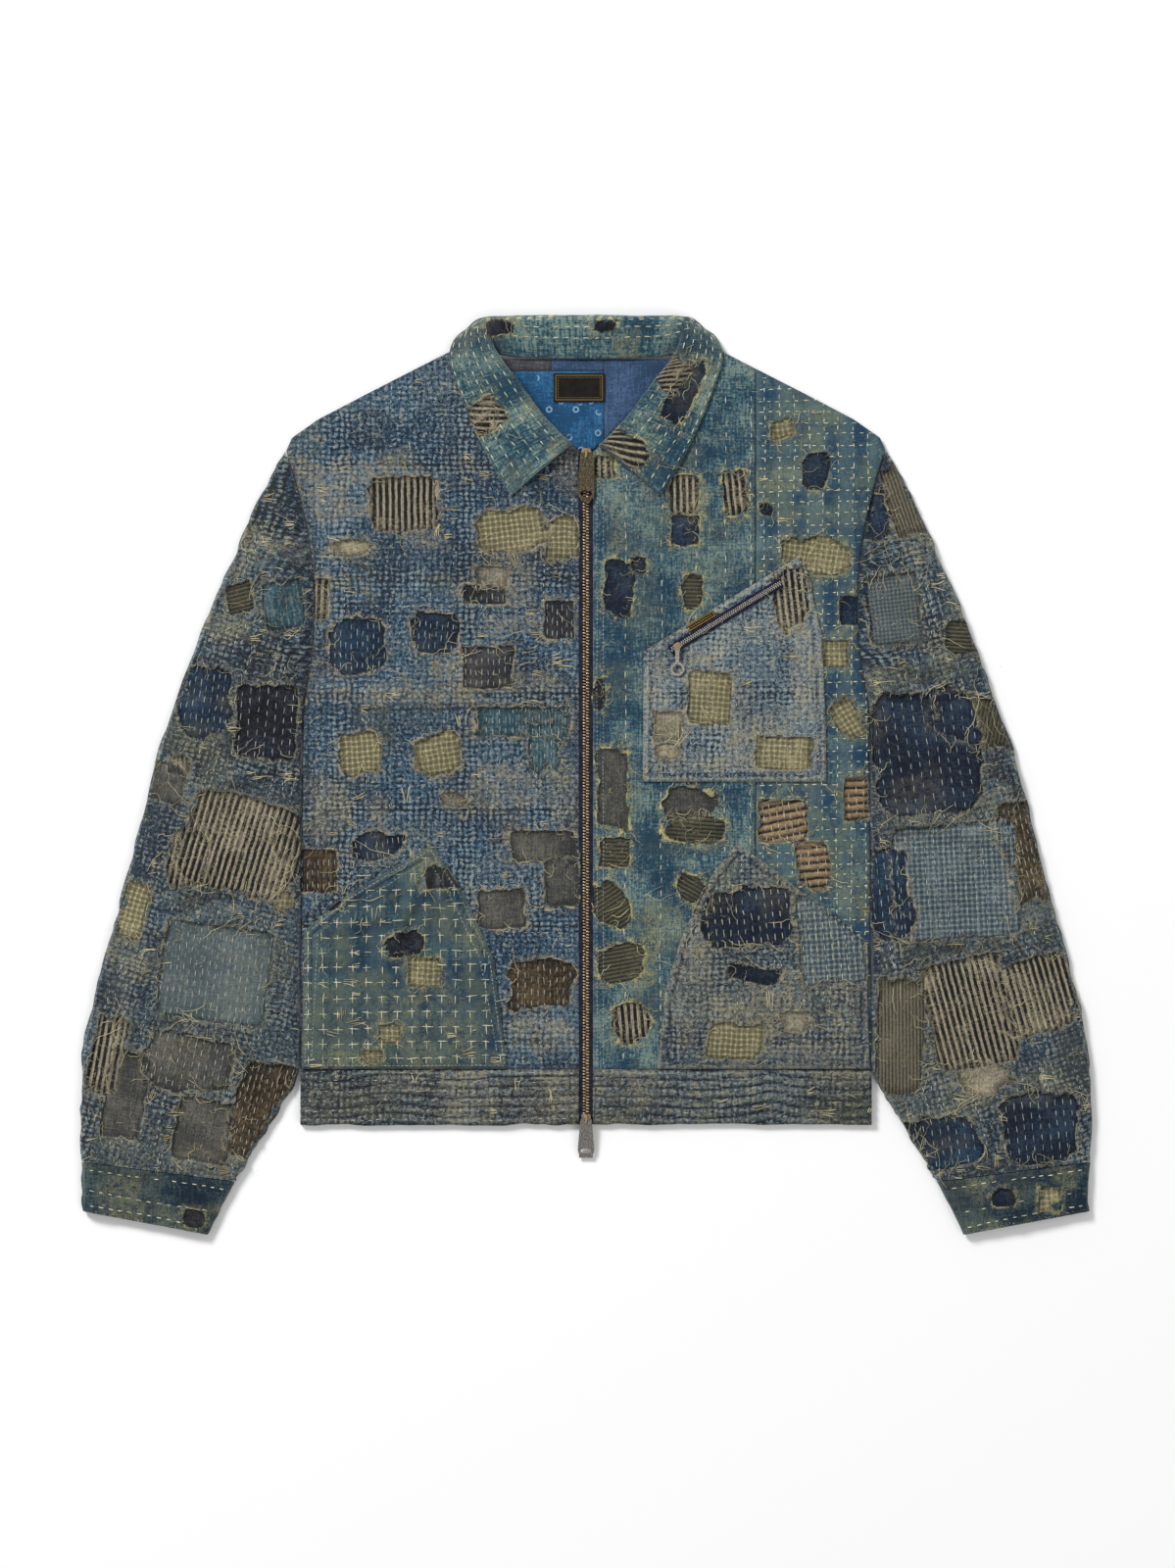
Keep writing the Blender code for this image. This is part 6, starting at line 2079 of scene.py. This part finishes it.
# %% Tape and label cloths
def woven_tape(name, dark, light, pitch=0.0009, border=None):
    """Close ribbed tape. border is (centre, half size, turn, colour) of a woven frame."""
    g, spot = start_thing(name)
    threads = g.place(weave, Vector=spot, Pitch=pitch)
    colour = g.blend(g.span(g.noise(spot, 0.006, 3.0), 0.35, 0.65), dark, light)
    colour = g.blend(threads["Over"] * 0.35, colour, dark)
    if border:
        centre, (half_x, half_y), turn, thread = border
        turned = g.first("VectorRotate", {"Vector": spot, "Center": (*centre, 0.0),
                                          "Angle": -turn}, rotation_type="Z_AXIS")
        x, y = g.split(turned)
        inset = (half_x - abs(x - centre[0])).min(half_y - abs(y - centre[1]))
        line = g.span(inset, 0.0014, 0.0017) * g.span(inset, 0.0024, 0.0021)
        inner = g.span(inset, 0.0034, 0.0036) * g.span(inset, 0.0041, 0.0039)
        dots = ((x + y) * 2600.0).sine().above(-0.2)
        colour = g.blend((line + inner * dots).clamp() * 0.75, colour, thread)
    return end_material(g, colour, threads["Height"], 0.00025, Roughness=0.85, Specular_IOR_Level=0.15,
                        Sheen_Weight=0.15)


def dress(material, *nodes):
    """Gives CAD nodes a finish."""
    for name in nodes:
        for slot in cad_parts[name].material_slots:
            slot.material = material


TAPE = woven_tape("zip_tape", "#14142a", "#26263e")
dress(TAPE, "zip_tape_left", "zip_tape_right", "pocket_zip_tape")
dress(BRASS, "zip_slider_top", "zip_slider_bottom", "pocket_zip_slider")
dress(OLD_BRASS, "zip_pull_top")
dress(STEEL, "zip_pull_bottom")
dress(BRIGHT_STEEL, "pocket_zip_pull")
neck_border = (LABEL_AT, (0.0220, 0.0125), 0.0, "#8a7444")
dress(woven_tape("neck_label_cloth", "#120f0b", "#1e1912", 0.0007, neck_border), "neck_label")


def middle_of(node):
    low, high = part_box(node)
    return (low[0] + high[0]) / 2, (low[1] + high[1]) / 2


tab_border = (middle_of("pocket_tab_label"), (0.0145, 0.0040), CHEST_ZIP_TURN, "#a8862c")
dress(woven_tape("tab_label_cloth", "#0f0f12", "#1c1c20", 0.0007, tab_border), "pocket_tab_label")

# %% Teeth
def small_block(bevel, matrix=Matrix()):
    """A cube with bevelled edges."""
    bm = bmesh.new()
    bmesh.ops.create_cube(bm, size=1.0, matrix=matrix)
    bmesh.ops.bevel(bm, geom=bm.edges[:], offset=bevel, segments=1, affect="EDGES", profile=0.5,
                    material=-1)
    return bm


TOOTH = small_part("tooth", small_block(0.16))
chain_low, chain_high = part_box("zip_chain")
PITCH = 0.0026
places = []
for side in (-1, 1):
    start = chain_low[1] + 0.001 + (PITCH / 2 if side > 0 else 0)
    for y in np.arange(start, chain_high[1] - 0.003, PITCH):
        places.append(((side * 0.00150, y, 0.0043), (0.0, 0.0, 0.0), (0.0028, 0.00130, 0.0021)))
teeth = set_copies("zip_teeth", TOOTH, places, BRASS)
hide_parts("zip_chain")


def tape_strip(name, low, high, turn=0.0):
    """The tape's inner edge under a row of teeth."""
    matrix = Matrix.LocRotScale((low + high) / 2, Matrix.Rotation(turn, 3, "Z"), high - low)
    mesh = mesh_of(name, small_block(0.0002, matrix))
    mesh.materials.append(TAPE)
    piece = add_object(name, mesh)
    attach(piece, "jacket")


tape_strip("zip_tape_inner", Vector((-0.0031, chain_low[1], 0.0026)),
           Vector((0.0031, chain_high[1], 0.0034)))

CHEST_PITCH = 0.00196
middle = Vector((*middle_of("pocket_zip_chain"), 0.0091))
heading = Vector((cos(CHEST_ZIP_TURN), sin(CHEST_ZIP_TURN), 0.0))
aside = Vector((-heading.y, heading.x, 0.0))
places = []
for number in range(-28, 29):
    for side in (-1, 1):
        along = number * CHEST_PITCH + (CHEST_PITCH / 2 if side > 0 else 0)
        spot = middle + heading * along + aside * side * 0.00095
        places.append((spot, (0.0, 0.0, CHEST_ZIP_TURN), (0.00105, 0.0021, 0.0013)))
pocket_teeth = set_copies("pocket_zip_teeth", TOOTH, places, BRIGHT_STEEL)
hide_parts("pocket_zip_chain")
tape_strip("pocket_zip_tape_inner", middle - Vector((0.0550, 0.0012, 0.0014)),
           middle + Vector((0.0550, 0.0012, -0.0008)), CHEST_ZIP_TURN)

# %% [markdown]
# ## Cut sizes
# A pattern cutter wants to know how big each cloth was before it was sewn. The map that
# carries the weave is the flat cut itself, so the area of its faces is the cloth's area,
# and its extent is the rectangle to cut it from. A tube's map is counted once for its
# outer face and once for its inner face.

# %% Cut sizes of the sheets
SLOTS = {"tweed": """front_right back pocket_left hem_band_right hem_band_left hem_band_back sleeve_right
                     sleeve_left""",
         "worn_indigo": "front_left cuff_right cuff_left collar",
         "stitched_check": "front_left_side pocket_right", "pale_tweed": "pocket_chest",
         "grey_lining": "lining_grey", "blue_lining": "lining_blue",
         "mauve_lining": "lining_mauve lining_mauve_strip"}
SLOT_OF = {name: slot for slot, names in SLOTS.items() for name in names.split()}
LEAST_SIDE = 0.0105         # no sheet's cut is given as narrower than this


def flat_cut(piece, layers):
    """Width, length and area of a piece's flat cut, in metres."""
    mesh = piece.data
    size = []
    for axis in ("flat_s", "flat_t"):
        values = [item.value for item in mesh.attributes[axis].data]
        size.append(max(max(values) - min(values), LEAST_SIDE))
    area = 0.0
    places = mesh.uv_layers["cloth"].uv
    for face in mesh.polygons:
        ring = [places[index].vector for index in face.loop_indices]
        area += abs(sum(a.cross(b) for a, b in zip(ring, ring[1:] + ring[:1]))) / 2
    return *size, area / layers


for name, piece in PIECES.items():
    width, length, area = flat_cut(piece, 2 if name.startswith(("sleeve", "cuff")) else 1)
    min(area, width * length)
    print(f"{name}: cut {1000 * width:.0f} x {1000 * length:.0f} mm, {10000 * area:.0f} cm2")
